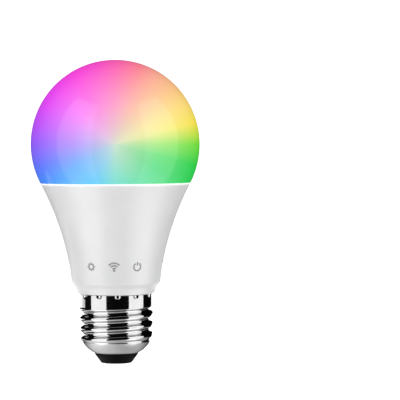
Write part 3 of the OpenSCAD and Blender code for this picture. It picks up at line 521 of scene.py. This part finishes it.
def rolled_shell():
    """The shell's outside as one sheet wrapped round the axis, with its radius worked out in nodes."""
    finish = bright_nickel()
    values = {"Columns": 241, "Rows": 171, **shell_sizes(), "Finish": finish}
    tree, given = geometry_tree("rolled screw shell", values)
    sheet = add(tree, "GeometryNodeMeshGrid", {"Vertices X": given["Columns"], "Vertices Y": given["Rows"]})
    place = add(tree, "ShaderNodeSeparateXYZ", {0: add(tree, "GeometryNodeInputPosition")})
    turn = add(tree, "ShaderNodeMath", {0: place.outputs["X"], 1: 0.5}, operation="ADD")
    down = add(tree, "ShaderNodeMapRange", {
        0: place.outputs["Y"], 1: 0.5, 2: -0.5, 3: 0.0, 4: given["Length"]})
    height = add(tree, "ShaderNodeMapRange", {
        0: down, 1: 0.0, 2: given["Straight length"], 3: given["Top"], 4: given["Lip top"]})

    # The crest climbs one pitch in a turn. Crest and root are tangent arcs of one radius
    crest = add(tree, "ShaderNodeMath", {0: turn, 1: given["Pitch"], 2: given["First crest"]},
                operation="MULTIPLY_ADD")
    above_crest = add(tree, "ShaderNodeMath", {0: height, 1: crest}, operation="SUBTRACT")
    from_crest = add(tree, "ShaderNodeMath", {0: above_crest, 1: given["Half pitch"]}, operation="PINGPONG")
    from_arc = add(tree, "ShaderNodeMath", {0: above_crest, 1: given["Quarter pitch"]}, operation="PINGPONG")
    sine = add(tree, "ShaderNodeMath", {0: from_arc, 1: given["Thread arc radius"]}, operation="DIVIDE")
    swing = add(tree, "ShaderNodeMath", {0: sine}, operation="ARCSINE")
    cosine = add(tree, "ShaderNodeMath", {0: swing}, operation="COSINE")
    share = add(tree, "ShaderNodeMath", {0: 1.0, 1: cosine}, operation="SUBTRACT")
    sag = add(tree, "ShaderNodeMath", {0: share, 1: given["Thread arc radius"]}, operation="MULTIPLY")
    root_drop = add(tree, "ShaderNodeMath", {0: given["Depth"], 1: sag}, operation="SUBTRACT")
    in_root = add(tree, "ShaderNodeMath", {0: from_crest, 1: given["Quarter pitch"]},
                  operation="GREATER_THAN")
    drop = add(tree, "ShaderNodeMix", {0: in_root, 2: sag, 3: root_drop})
    thread_r = add(tree, "ShaderNodeMath", {0: given["Crest radius"], 1: drop}, operation="SUBTRACT")

    # The thread fades into the collar above and into the lip below
    in_collar = add(tree, "ShaderNodeMapRange", {
        0: height, 1: given["Full thread top"], 2: given["Thread top"]}, interpolation_type="SMOOTHSTEP")
    in_thread = add(tree, "ShaderNodeMapRange", {
        0: height, 1: given["Lip top"], 2: given["Full thread bottom"]}, interpolation_type="SMOOTHSTEP")
    upper_r = add(tree, "ShaderNodeMix", {0: in_collar, 2: thread_r, 3: given["Collar radius"]})
    wall_r = add(tree, "ShaderNodeMix", {0: in_thread, 2: given["Lip start radius"], 3: upper_r})

    # Punch marks: a round dimple with a flat bottom at each place just below the top edge
    along = add(tree, "ShaderNodeMath", {0: turn, 1: given["Girth"]}, operation="MULTIPLY")
    from_first = add(tree, "ShaderNodeMath", {0: along, 1: given["First punch"]}, operation="SUBTRACT")
    aside = add(tree, "ShaderNodeMath", {0: from_first, 1: given["Half punch spacing"]}, operation="PINGPONG")
    under = add(tree, "ShaderNodeMath", {0: down, 1: given["Punch drop"]}, operation="SUBTRACT")
    offset = add(tree, "ShaderNodeCombineXYZ", {0: aside, 1: under})
    away = add(tree, "ShaderNodeVectorMath", {0: offset}, operation="LENGTH").outputs["Value"]
    dimple = add(tree, "ShaderNodeMapRange", {
        0: away, 1: given["Punch flat"], 2: given["Punch reach"], 3: given["Punch depth"], 4: 0.0},
        interpolation_type="SMOOTHSTEP")
    punched_r = add(tree, "ShaderNodeMath", {0: wall_r, 1: dimple}, operation="SUBTRACT")

    # Below the thread, the sheet turns inwards along the lip's arc
    lean = add(tree, "ShaderNodeMapRange", {
        0: down, 1: given["Straight length"], 2: given["Length"], 3: given["Lip start angle"],
        4: given["Lip edge angle"]})
    lean_cosine = add(tree, "ShaderNodeMath", {0: lean}, operation="COSINE")
    lean_sine = add(tree, "ShaderNodeMath", {0: lean}, operation="SINE")
    lip_r = add(tree, "ShaderNodeMath", {
        0: lean_cosine, 1: given["Lip arc radius"], 2: given["Lip centre radius"]}, operation="MULTIPLY_ADD")
    lip_z = add(tree, "ShaderNodeMath", {
        0: lean_sine, 1: given["Lip arc radius"], 2: given["Lip centre height"]}, operation="MULTIPLY_ADD")
    in_lip = add(tree, "ShaderNodeMath", {0: down, 1: given["Straight length"]}, operation="GREATER_THAN")
    radius = add(tree, "ShaderNodeMix", {0: in_lip, 2: punched_r, 3: lip_r})
    z = add(tree, "ShaderNodeMix", {0: in_lip, 2: height, 3: lip_z})

    angle = add(tree, "ShaderNodeMath", {0: turn, 1: math.tau}, operation="MULTIPLY")
    angle_cosine = add(tree, "ShaderNodeMath", {0: angle}, operation="COSINE")
    angle_sine = add(tree, "ShaderNodeMath", {0: angle}, operation="SINE")
    x = add(tree, "ShaderNodeMath", {0: radius, 1: angle_cosine}, operation="MULTIPLY")
    y = add(tree, "ShaderNodeMath", {0: radius, 1: angle_sine}, operation="MULTIPLY")
    point = add(tree, "ShaderNodeCombineXYZ", {0: x, 1: y, 2: z})
    wrapped = add(tree, "GeometryNodeSetPosition", {"Geometry": sheet, "Position": point})
    joined = add(tree, "GeometryNodeMergeByDistance", {"Geometry": wrapped, "Distance": given["Weld"]})
    plain = add(tree, "GeometryNodeRealizeInstances", {0: joined})
    coated = add(tree, "GeometryNodeSetMaterial", {"Geometry": plain, "Material": given["Finish"]})
    add(tree, "NodeGroupOutput", {0: coated})

    mesh = baked(tree, values)
    work = bmesh.new()
    work.from_mesh(mesh)
    bmesh.ops.recalc_face_normals(work, faces=work.faces)
    outermost = max(work.faces, key=lambda f: f.calc_center_median().xy.length)
    if outermost.normal.xy.dot(outermost.calc_center_median().xy) < 0:
        bmesh.ops.reverse_faces(work, faces=work.faces)
    work.to_mesh(mesh)
    work.free()
    shell = piece("rolled_nickel_shell", mesh, finish, "nickel_shell", "screw_shell")
    sheet_wall = shell.modifiers.new("sheet", "SOLIDIFY")
    sheet_wall.thickness = SHELL_T * MM
    sheet_wall.offset = -1
    sheet_wall.use_even_offset = False


rolled_shell()

# ---- Housing ------------------------------------------------------------------------------------
# White polyester (PBT) moulded over a polished core in a spark-eroded tool: satin, very slightly
# uneven, and thin enough at its rim for the LEDs' light to show as a bright edge.

GLOBE_R, SPIGOT_Z, CROWN_Z = in_mm("globe_diffuser")
GLOBE_Z = CROWN_Z - GLOBE_R
HOUSING_LOW_Z, HOUSING_TOP_Z = in_mm("housing")[1:]
HOUSING_WALL = 1.4
SEAM_Z = in_mm("sealant_ring")[2]
RIM_R = math.sqrt(GLOBE_R ** 2 - (GLOBE_Z - SEAM_Z) ** 2)
WAIST_R, WAIST_Z = 15.8, SHELL_TOP_Z + 3.9
SEAT_Z = HOUSING_TOP_Z - 2.4


def flare(t):
    """The housing's outside from waist to rim: one smooth curve that ends along the globe's own."""
    rise = SEAM_Z - WAIST_Z
    draft = math.radians(5)
    slope = math.atan2(GLOBE_Z - SEAM_Z, RIM_R)
    a = Vector((WAIST_R, WAIST_Z))
    b = a + rise * 0.33 * Vector((math.sin(draft), math.cos(draft)))
    d = Vector((RIM_R, SEAM_Z))
    c = d - rise * 0.385 * Vector((math.sin(slope), math.cos(slope)))
    return a * (1 - t) ** 3 + b * 3 * t * (1 - t) ** 2 + c * 3 * t ** 2 * (1 - t) + d * t ** 3


def flare_r(height):
    """Outside radius of the housing at a height, in millimetres."""
    low, high = 0.0, 1.0
    for _ in range(40):
        middle = (low + high) / 2
        if flare(middle).y < height:
            low = middle
        else:
            high = middle
    return flare(low).x


SEAT_R = flare_r(SEAT_Z) - HOUSING_WALL + 0.25


def satin_pbt():
    """Satin white moulding with a glow that fades below the rim."""
    made, tree, where = start_finish("satin white PBT")
    cloud = add(tree, "ShaderNodeTexNoise", {"Vector": where, "Scale": 1 / (9 * MM)})
    tone = add(tree, "ShaderNodeValToRGB", {0: cloud}, stops=[(0.3, "d8d8d9"), (0.7, "dcdcdd")])
    # Spark-eroded texture has pits of about 0.05 mm; drawn at 0.25 mm so that it shows
    pits = add(tree, "ShaderNodeTexNoise", {"Vector": where, "Scale": 1 / (0.25 * MM), "Detail": 4.0})
    rough = add(tree, "ShaderNodeMapRange", {0: pits, 3: 0.36, 4: 0.46})
    raised = add(tree, "ShaderNodeBump", {"Height": pits, "Distance": 0.006 * MM})
    height = add(tree, "ShaderNodeSeparateXYZ", {0: where}).outputs["Z"]
    glow = add(tree, "ShaderNodeMapRange", {
        0: height, 1: (SEAM_Z - 1.6) * MM, 2: (SEAM_Z - 0.3) * MM, 4: 0.1},
        interpolation_type="SMOOTHERSTEP")
    light = add(tree, "ShaderNodeValToRGB", {0: glow}, stops=[(0, "000000"), (1, "ffffff")])
    shader = add(tree, "ShaderNodeBsdfPrincipled", {
        "Base Color": tone, "Roughness": rough, "IOR": 1.57, "Specular IOR Level": 0.9, "Normal": raised,
        "Emission Color": light, "Emission Strength": 1.0})
    add(tree, "ShaderNodeOutputMaterial", {"Surface": shader})
    return made


def housing():
    """Neck inside the shell, ring on the shell's edge, chamfered waist, flare and rim seat."""
    ring_r, neck_r, neck_in_r, core_r, groove_r = 14.1, 11.6, 10.4, 12.6, 12.15
    chamfer_z = WAIST_Z - 1.4
    top = HOUSING_TOP_Z
    thread_top = SHELL_TOP_Z - 4.4
    steps = 46
    foot = [(neck_in_r, HOUSING_LOW_Z), (neck_r, HOUSING_LOW_Z), (neck_r, thread_top),
            (core_r, thread_top + 0.4), (core_r, SHELL_TOP_Z - 1.3), (groove_r, SHELL_TOP_Z - 1),
            (groove_r, SHELL_TOP_Z + 0.1), (ring_r - 0.3, SHELL_TOP_Z + 0.1), (ring_r, SHELL_TOP_Z + 1.2),
            (ring_r + 0.1, chamfer_z - 0.35), tuple(flare(0.0)), tuple(flare(0.06))]
    outline = rounded(foot, [0, 0.3, 0, 0, 0, 0, 0, 0.35, 0.4, 0.8, 0.6, 0], 6)
    wall = [tuple(flare(0.06 + 0.93 * k / steps)) for k in range(1, steps + 1)]
    outline += [point for point in wall if point[1] < top - 0.2]
    outline += rounded([outline[-1], (flare_r(top), top), (SEAT_R, top)], [0, 0.15, 0.15], 3)[1:]
    outline += [(SEAT_R, top - 0.8), (SEAT_R + 0.5, top - 0.9), (SEAT_R + 0.5, top - 1.65),
                (SEAT_R, top - 1.75), (SEAT_R, SEAT_Z)]
    cavity_z = WAIST_Z + 0.7
    heights = [SEAT_Z + (cavity_z - SEAT_Z) * k / 24 for k in range(25)]
    outline += [(flare_r(height) - HOUSING_WALL, height) for height in heights]
    outline += [(neck_in_r, WAIST_Z - 1.7)]
    piece("moulded_white_housing", turned("housing", outline, 180), satin_pbt(), "housing_pbt", "housing")


housing()

# ---- Heat sink, LED board and its LEDs ----------------------------------------------------------
# A deep-drawn aluminium cup holds the round aluminium-core board on grey-white paste, with three
# small zinc-plated screws. The board is white, and carries white, amber-filled and colour LEDs.

dress(plated("deep-drawn aluminium", "b9bcc0", "a3a6aa", 0.3, 1.2), "heat_sink_cup")
dress(speckled("thermal paste", "c9ccce", "dcdfe0", 0.8, 0.05, 0.7), "thermal_compound")
dress(plated("zinc plating", "c4c3be", "a5a59c", 0.3, 0.5), "board_screws")
dress(masked_board("white solder mask", "e8e8e4", "dcdcd6", 1.6), "led_board")
dress(speckled("white LED moulding", "ebe8e0", "f2f0ea", 0.4, 0.005, 0.35), "white_led_packages",
      "rgb_led_packages")


def phosphor(name, deep, pale):
    """Silicone filled with phosphor powder, glossy where it is poured, with settled grains."""
    made, tree, where = start_finish(name)
    # Powder grains are about 0.015 mm; drawn at 0.08 mm so that they show
    grains = add(tree, "ShaderNodeTexVoronoi", {"Vector": where, "Scale": 1 / (0.08 * MM)})
    tone = add(tree, "ShaderNodeValToRGB", {0: grains}, stops=[(0, deep), (0.6, pale)])
    shader = add(tree, "ShaderNodeBsdfPrincipled", {
        "Base Color": tone, "Roughness": 0.12, "IOR": 1.42, "Coat Weight": 0.4})
    add(tree, "ShaderNodeOutputMaterial", {"Surface": shader})
    return made


dress(phosphor("cool phosphor fill", "d8c63a", "efe27a"), "cool_phosphor_windows")
dress(phosphor("warm phosphor fill", "d98524", "f0a84a"), "warm_phosphor_windows")


def clear_fill():
    """Clear silicone over the three colour dies."""
    made, tree, where = start_finish("clear silicone fill")
    haze = add(tree, "ShaderNodeTexNoise", {"Vector": where, "Scale": 1 / (0.6 * MM)})
    tone = add(tree, "ShaderNodeValToRGB", {0: haze}, stops=[(0.3, "cfcfca"), (0.7, "e4e4e0")])
    shader = add(tree, "ShaderNodeBsdfPrincipled", {
        "Base Color": tone, "Roughness": 0.06, "IOR": 1.42, "Transmission Weight": 0.6})
    add(tree, "ShaderNodeOutputMaterial", {"Surface": shader})
    return made


dress(clear_fill(), "rgb_led_windows")

# ---- Link between the boards, and radio module --------------------------------------------------
# Black and ivory nylon headers with gold-flashed pins; the radio module is a blue board with a
# soldered tin can and a bare gold antenna track at its free end.

dress(speckled("ivory nylon", "d6cdb6", "e0d8c4", 0.7, 0.01, 0.45), "link_socket")
dress(speckled("black nylon", "0e0e10", "18181a", 0.5, 0.01, 0.45), "link_header", "wifi_spacer")
dress(plated("gold flash", "e0b560", "c89a44", 0.2, 0.3), "link_pins", "wifi_pins", "wifi_antenna")
dress(masked_board("blue solder mask", "0a1e4a", "15346e", 0.6), "wifi_board")

# ---- Globe --------------------------------------------------------------------------------------
# Opal polycarbonate, blown, glossy outside and lit by the colour LEDs: each LED tints its own side,
# and the tints wash out to a pale mixture in the middle, where all of them show through. Around
# half the radius the colours also carry painted reflections of the two soft boxes, as lighter tones.


def lit_opal():
    """Light through the opal wall: hues go round the globe's centre line and pale towards it. The middle ring
    also holds painted reflections of the soft boxes.
    """
    made, tree, where = start_finish("lit opal polycarbonate")
    pale_x = 0.035 * GLOBE_R
    off_centre = add(tree, "ShaderNodeVectorMath", {0: where, 1: (pale_x * MM, 0, GLOBE_Z * MM)},
                     operation="SUBTRACT")
    parts = add(tree, "ShaderNodeSeparateXYZ", {0: off_centre})
    turn = add(tree, "ShaderNodeMath", {0: parts.outputs["Z"], 1: parts.outputs["X"]}, operation="ARCTAN2")
    around = add(tree, "ShaderNodeMapRange", {0: turn, 1: -math.pi, 2: math.pi})
    flat = add(tree, "ShaderNodeVectorMath", {0: off_centre, 1: (1, 0, 1)}, operation="MULTIPLY")
    reach = add(tree, "ShaderNodeVectorMath", {0: flat}, operation="LENGTH").outputs["Value"]
    share = add(tree, "ShaderNodeMath", {0: reach, 1: GLOBE_R * MM}, operation="DIVIDE")
    # Middle ring: the LEDs' tints, with the soft boxes' reflections painted in as lighter tones
    middle = add(tree, "ShaderNodeValToRGB", {0: around}, stops=[
        (0, "b292fe"), (0.042, "8ea0fe"), (0.083, "6cb2fd"), (0.167, "5cc6f8"), (0.25, "72ded0"),
        (0.333, "70deac"), (0.417, "64dc8c"), (0.458, "72e084"), (0.5, "aae884"), (0.542, "f0ee98"),
        (0.583, "ffe8a2"), (0.667, "fec4aa"), (0.75, "ff9eca"), (0.833, "fe86e8"), (0.875, "fb88f5"),
        (0.917, "ea8afc"), (1, "b292fe")])
    edge = add(tree, "ShaderNodeValToRGB", {0: around}, stops=[
        (0, "9462fb"), (0.042, "6478fe"), (0.083, "4294fe"), (0.167, "4cc2f8"), (0.25, "62dcd2"),
        (0.333, "5adc94"), (0.417, "34d25c"), (0.458, "2ed24e"), (0.5, "76e03e"), (0.542, "fae650"),
        (0.583, "fddc78"), (0.667, "fdae96"), (0.708, "ff8298"), (0.75, "ff64b6"), (0.792, "fd50d0"),
        (0.833, "fe4ae2"), (0.875, "f44af0"), (0.917, "e44cfa"), (0.958, "c254fc"), (1, "9462fb")])
    inner_share = add(tree, "ShaderNodeMapRange", {0: share, 1: 0.0, 2: 0.5})
    outward = add(tree, "ShaderNodeMath", {0: inner_share, 1: 0.65}, operation="POWER")
    to_edge = add(tree, "ShaderNodeMapRange", {0: share, 1: 0.5, 2: 0.94})
    inner_tint_and_painted_reflection = add(tree, "ShaderNodeMix", {0: outward, 6: srgb("d3e2d2"), 7: middle}, data_type="RGBA")
    tint_and_painted_reflection = add(tree, "ShaderNodeMix", {0: to_edge, 6: inner_tint_and_painted_reflection.outputs[2], 7: edge}, data_type="RGBA")
    dark = add(tree, "ShaderNodeMix", {0: 0.9, 6: tint_and_painted_reflection.outputs[2], 7: srgb("0c0c0c")}, data_type="RGBA")
    # Moulding grit of about 0.04 mm; drawn at 0.2 mm so that it shows
    grit = add(tree, "ShaderNodeTexNoise", {"Vector": where, "Scale": 1 / (0.2 * MM), "Detail": 3.0})
    raised = add(tree, "ShaderNodeBump", {"Height": grit, "Distance": 0.003 * MM})
    shader = add(tree, "ShaderNodeBsdfPrincipled", {
        "Base Color": dark.outputs[2], "Roughness": 0.4, "Specular IOR Level": 0.0, "Coat Weight": 0.5,
        "Coat Roughness": 0.12, "Normal": raised, "Emission Color": tint_and_painted_reflection.outputs[2],
        "Emission Strength": 0.95})
    add(tree, "ShaderNodeOutputMaterial", {"Surface": shader})
    return made


def globe():
    """Blown wall, flange on the rim and the spigot that plugs into the housing."""
    wall = 1.2
    spigot_r = SEAT_R - 0.1
    flange_z = SEAM_Z + 1.1
    centre = (0, GLOBE_Z)
    low = math.asin((SEAM_Z + 0.06 - GLOBE_Z) / GLOBE_R)
    low_inside = math.asin((flange_z - GLOBE_Z) / (GLOBE_R - wall))
    outline = [(spigot_r - wall, SPIGOT_Z + 0.1), (spigot_r - 0.1, SPIGOT_Z), (spigot_r, SPIGOT_Z + 0.1),
               (spigot_r, SEAM_Z), (RIM_R - 0.15, SEAM_Z)]
    outline += arc(centre, GLOBE_R, low, math.pi / 2, 96)[:-1] + [(0, CROWN_Z), (0, CROWN_Z - wall)]
    outline += arc(centre, GLOBE_R - wall, math.pi / 2, low_inside, 72)[1:] + [(spigot_r - wall, flange_z)]
    piece("blown_opal_globe", turned("globe", outline, 192), lit_opal(), "globe_pc", "globe_diffuser")


globe()


def silicone_bead():
    """Silicone squeezed out between globe and housing, lit from inside."""
    made, tree, where = start_finish("lit silicone bead")
    cloud = add(tree, "ShaderNodeTexNoise", {"Vector": where, "Scale": 1 / (1.5 * MM)})
    tone = add(tree, "ShaderNodeValToRGB", {0: cloud}, stops=[(0.3, "f2f4f6"), (0.7, "ffffff")])
    shader = add(tree, "ShaderNodeBsdfPrincipled", {
        "Base Color": tone, "Roughness": 0.4, "IOR": 1.41, "Emission Color": tone, "Emission Strength": 0.25})
    add(tree, "ShaderNodeOutputMaterial", {"Surface": shader})
    return made


dress(silicone_bead(), "sealant_ring")

# ---- Print on the housing -----------------------------------------------------------------------
# Three plain signs in warm grey ink, pad printed low on the front: dimming, radio and on/off. The
# ink is a film a few hundredths of a millimetre thick that follows the housing's surface.


def strip(points, width, closed=False):
    """A line of even width through flat points, as quads; gives its vertices and faces."""
    count = len(points)
    sides = []
    for i, point in enumerate(points):
        before = points[i - 1] if closed or i else point
        after = points[(i + 1) % count] if closed or i < count - 1 else point
        along = Vector(after) - Vector(before)
        across = Vector((-along.y, along.x)).normalized() * width / 2
        sides += [Vector(point) + across, Vector(point) - across]
    spans = range(count if closed else count - 1)
    faces = [(2 * i, 2 * i + 1, (2 * i + 3) % (2 * count), (2 * i + 2) % (2 * count)) for i in spans]
    return sides, faces


def sign_lines():
    """Strips of the three signs, in millimetres round and up from the print's middle."""
    line, spacing, size = 0.54, 8.4, 1.5
    full = math.tau
    sun, radio, power = (-spacing, 0), (0, -0.85 * size), (spacing, -0.1)
    made = [strip(arc(sun, 0.62 * size, 0, full, 32)[:-1], line, True)]
    for k in range(8):
        x, z = math.cos(full * k / 8), math.sin(full * k / 8)
        ray = [(sun[0] + size * (0.85 + 0.1 * j) * x, size * (0.85 + 0.1 * j) * z) for j in range(3)]
        made.append(strip(ray, line * 0.8))
    for reach in (0.55, 1.15, 1.75):
        made.append(strip(arc(radio, reach * size, full / 8, full * 3 / 8, 14), line))
    made.append(strip(arc(radio, 0.16 * size, 0, full, 32)[:-1], 0.3 * size, True))
    made.append(strip(arc(power, 0.9 * size, full / 3, full * 7 / 6, 32), line))
    made.append(strip([(spacing, size * (0.25 + 0.2 * k)) for k in range(5)], line))
    return made


def pad_ink():
    """Pad-printing ink, warm grey, with slightly uneven cover."""
    made, tree, where = start_finish("grey pad-printing ink")
    cover = add(tree, "ShaderNodeTexNoise", {"Vector": where, "Scale": 1 / (0.35 * MM), "Detail": 3.0})
    tone = add(tree, "ShaderNodeValToRGB", {0: cover}, stops=[(0.3, "8f8b8c"), (0.7, "9c9899")])
    shader = add(tree, "ShaderNodeBsdfPrincipled", {"Base Color": tone, "Roughness": 0.45})
    add(tree, "ShaderNodeOutputMaterial", {"Surface": shader})
    return made


def printed_signs():
    """Bends the flat strips round the housing and gives the ink its thickness."""
    middle_z = SHELL_TOP_Z + 10.3
    front = -math.pi / 2
    film = 0.02
    work = bmesh.new()
    for points, faces in sign_lines():
        verts = []
        for point in points:
            radius = (flare_r(middle_z + point.y) + film) * MM
            turn = front + point.x / flare_r(middle_z)
            place = (radius * math.cos(turn), radius * math.sin(turn), (middle_z + point.y) * MM)
            verts.append(work.verts.new(place))
        for face in faces:
            work.faces.new([verts[i] for i in face])
    for face in work.faces:
        face.normal_update()
        if face.normal.xy.dot(face.calc_center_median().xy) < 0:
            face.normal_flip()
    mesh = bpy.data.meshes.new("printed signs")
    work.to_mesh(mesh)
    work.free()
    ink = piece("printed_signs", mesh, pad_ink(), "housing_pbt")
    depth = ink.modifiers.new("film", "SOLIDIFY")
    depth.thickness = film * MM
    depth.offset = -1


printed_signs()

# ---- Stage --------------------------------------------------------------------------------------
# White sweep, a tall soft box to the left and another to the right of the camera, a fill lamp
# behind, and a low white card close behind the cap, which gives the bright metal its pale edges.


def sheet_of(name, outline, left, right):
    """A sheet of paper from left to right through (depth, height) points, in metres."""
    work = bmesh.new()
    rows = [[work.verts.new((x, y, z)) for x in (left, right)] for y, z in outline]
    for low, high in zip(rows, rows[1:]):
        work.faces.new((low[0], low[1], high[1], high[0]))
    mesh = bpy.data.meshes.new(name)
    work.to_mesh(mesh)
    work.free()
    mesh.shade_smooth()
    made = bpy.data.objects.new(name, mesh)
    bpy.context.scene.collection.objects.link(made)
    made.visible_diffuse = False
    made.visible_shadow = False
    return made


def white_paper(name, glow):
    """Matt white paper with its faint clouding, lit from behind by glow."""
    made, tree, where = start_finish(name)
    cloud = add(tree, "ShaderNodeTexNoise", {"Vector": where, "Scale": 1 / (40 * MM)})
    tone = add(tree, "ShaderNodeValToRGB", {0: cloud}, stops=[(0.3, "fafafa"), (0.7, "ffffff")])
    shader = add(tree, "ShaderNodeBsdfPrincipled", {
        "Base Color": tone, "Roughness": 0.9, "Specular IOR Level": 0.1, "Emission Color": srgb("ffffff"),
        "Emission Strength": glow})
    add(tree, "ShaderNodeOutputMaterial", {"Surface": shader})
    return made


def shaded_card():
    """White card that is bright behind the lamp and falls into shade towards its left end."""
    shade_x, bright_x = -0.13, -0.045
    shade, bright = 0.12, 1.1
    made, tree, where = start_finish("white card")
    across = add(tree, "ShaderNodeSeparateXYZ", {0: where}).outputs["X"]
    glow = add(tree, "ShaderNodeMapRange", {0: across, 1: shade_x, 2: bright_x, 3: shade, 4: bright},
               interpolation_type="SMOOTHSTEP")
    shader = add(tree, "ShaderNodeBsdfPrincipled", {
        "Base Color": srgb("fafafa"), "Roughness": 0.9, "Specular IOR Level": 0.1,
        "Emission Color": srgb("ffffff"), "Emission Strength": glow})
    add(tree, "ShaderNodeOutputMaterial", {"Surface": shader})
    return made


def sweep_and_card():
    """Floor that curves up behind the lamp, and the card that only the metal sees."""
    front, depth, height, bend = 1.0, 1.6, 1.8, 0.5
    curve = arc((depth - bend, bend), bend, -math.pi / 2, 0, 15)
    sweep = sheet_of("white_sweep", [(-front, 0.0), *curve, (depth, height)], -1.5, 1.5)
    sweep.visible_glossy = False
    sweep.data.materials.append(white_paper("white sweep paper", 0.95))
    behind, low, high = 0.06, -0.008, 0.021
    card = sheet_of("low_white_card", [(behind, low), (behind, high)], -0.168, 0.052)
    card.visible_camera = False
    card.data.materials.append(shaded_card())


def soft_box(name, azimuth, width, power, distance=0.62, height=1.8):
    """A tall soft box turned to the lamp and centred on its foot. Azimuth 0 is at the camera."""
    turn = math.radians(azimuth)
    light = bpy.data.lights.new(name, "AREA")
    light.shape = "RECTANGLE"
    light.size = width
    light.size_y = height
    light.energy = power
    stand = bpy.data.objects.new(name, light)
    bpy.context.scene.collection.objects.link(stand)
    stand.location = (distance * math.sin(turn), -distance * math.cos(turn), 0)
    stand.rotation_euler = (math.pi / 2, 0, turn)
    stand.visible_camera = False
    return stand


def room():
    """Soft light from the front, a pale table that shows in the metal from below, and white around."""
    world = bpy.data.worlds.new("room")
    bpy.context.scene.world = world
    world.use_nodes = True
    tree = world.node_tree
    tree.nodes.clear()
    direction = add(tree, "ShaderNodeSeparateXYZ", {0: add(tree, "ShaderNodeTexCoord").outputs["Generated"]})
    across, inward, upward = direction.outputs
    front = add(tree, "ShaderNodeMapRange", {0: inward, 1: -1.0, 2: 0.3, 3: 0.45, 4: 0.0})
    table = add(tree, "ShaderNodeMapRange", {0: across, 1: -0.6, 2: 0.1, 3: 1.5, 4: 0.8})
    down = add(tree, "ShaderNodeMapRange", {0: upward, 1: -0.35, 2: -0.65, 3: 0.005, 4: 1.0})
    mirrored = add(tree, "ShaderNodeMath", {0: table, 1: down}, operation="MULTIPLY")
    seen = add(tree, "ShaderNodeLightPath")
    light = add(tree, "ShaderNodeMix", {0: seen.outputs["Is Glossy Ray"], 2: front, 3: mirrored})
    strength = add(tree, "ShaderNodeMix", {0: seen.outputs["Is Camera Ray"], 2: light, 3: 1.0})
    background = add(tree, "ShaderNodeBackground", {"Color": srgb("ffffff"), "Strength": strength})
    add(tree, "ShaderNodeOutputWorld", {0: background})


sweep_and_card()
soft_box("left_soft_box", -55.5, 0.62, 6.8)
soft_box("right_soft_box", 69, 0.62, 6.9)
soft_box("rear_fill", 180, 0.8, 7.5).visible_glossy = False
room()


def camera():
    """Long lens, level with the globe and a little to the lamp's right."""
    lens = bpy.data.cameras.new("camera")
    lens.sensor_width = 36
    lens.lens = 184
    lens.clip_start = 0.01
    eye = bpy.data.objects.new("camera", lens)
    bpy.context.scene.collection.objects.link(eye)
    eye.location = (0.0301, -0.727, 0.0776)
    eye.rotation_euler = (math.radians(90 - 1.54), math.radians(0.27), 0)
    bpy.context.scene.camera = eye


camera()
bpy.context.scene.view_settings.view_transform = "Standard"
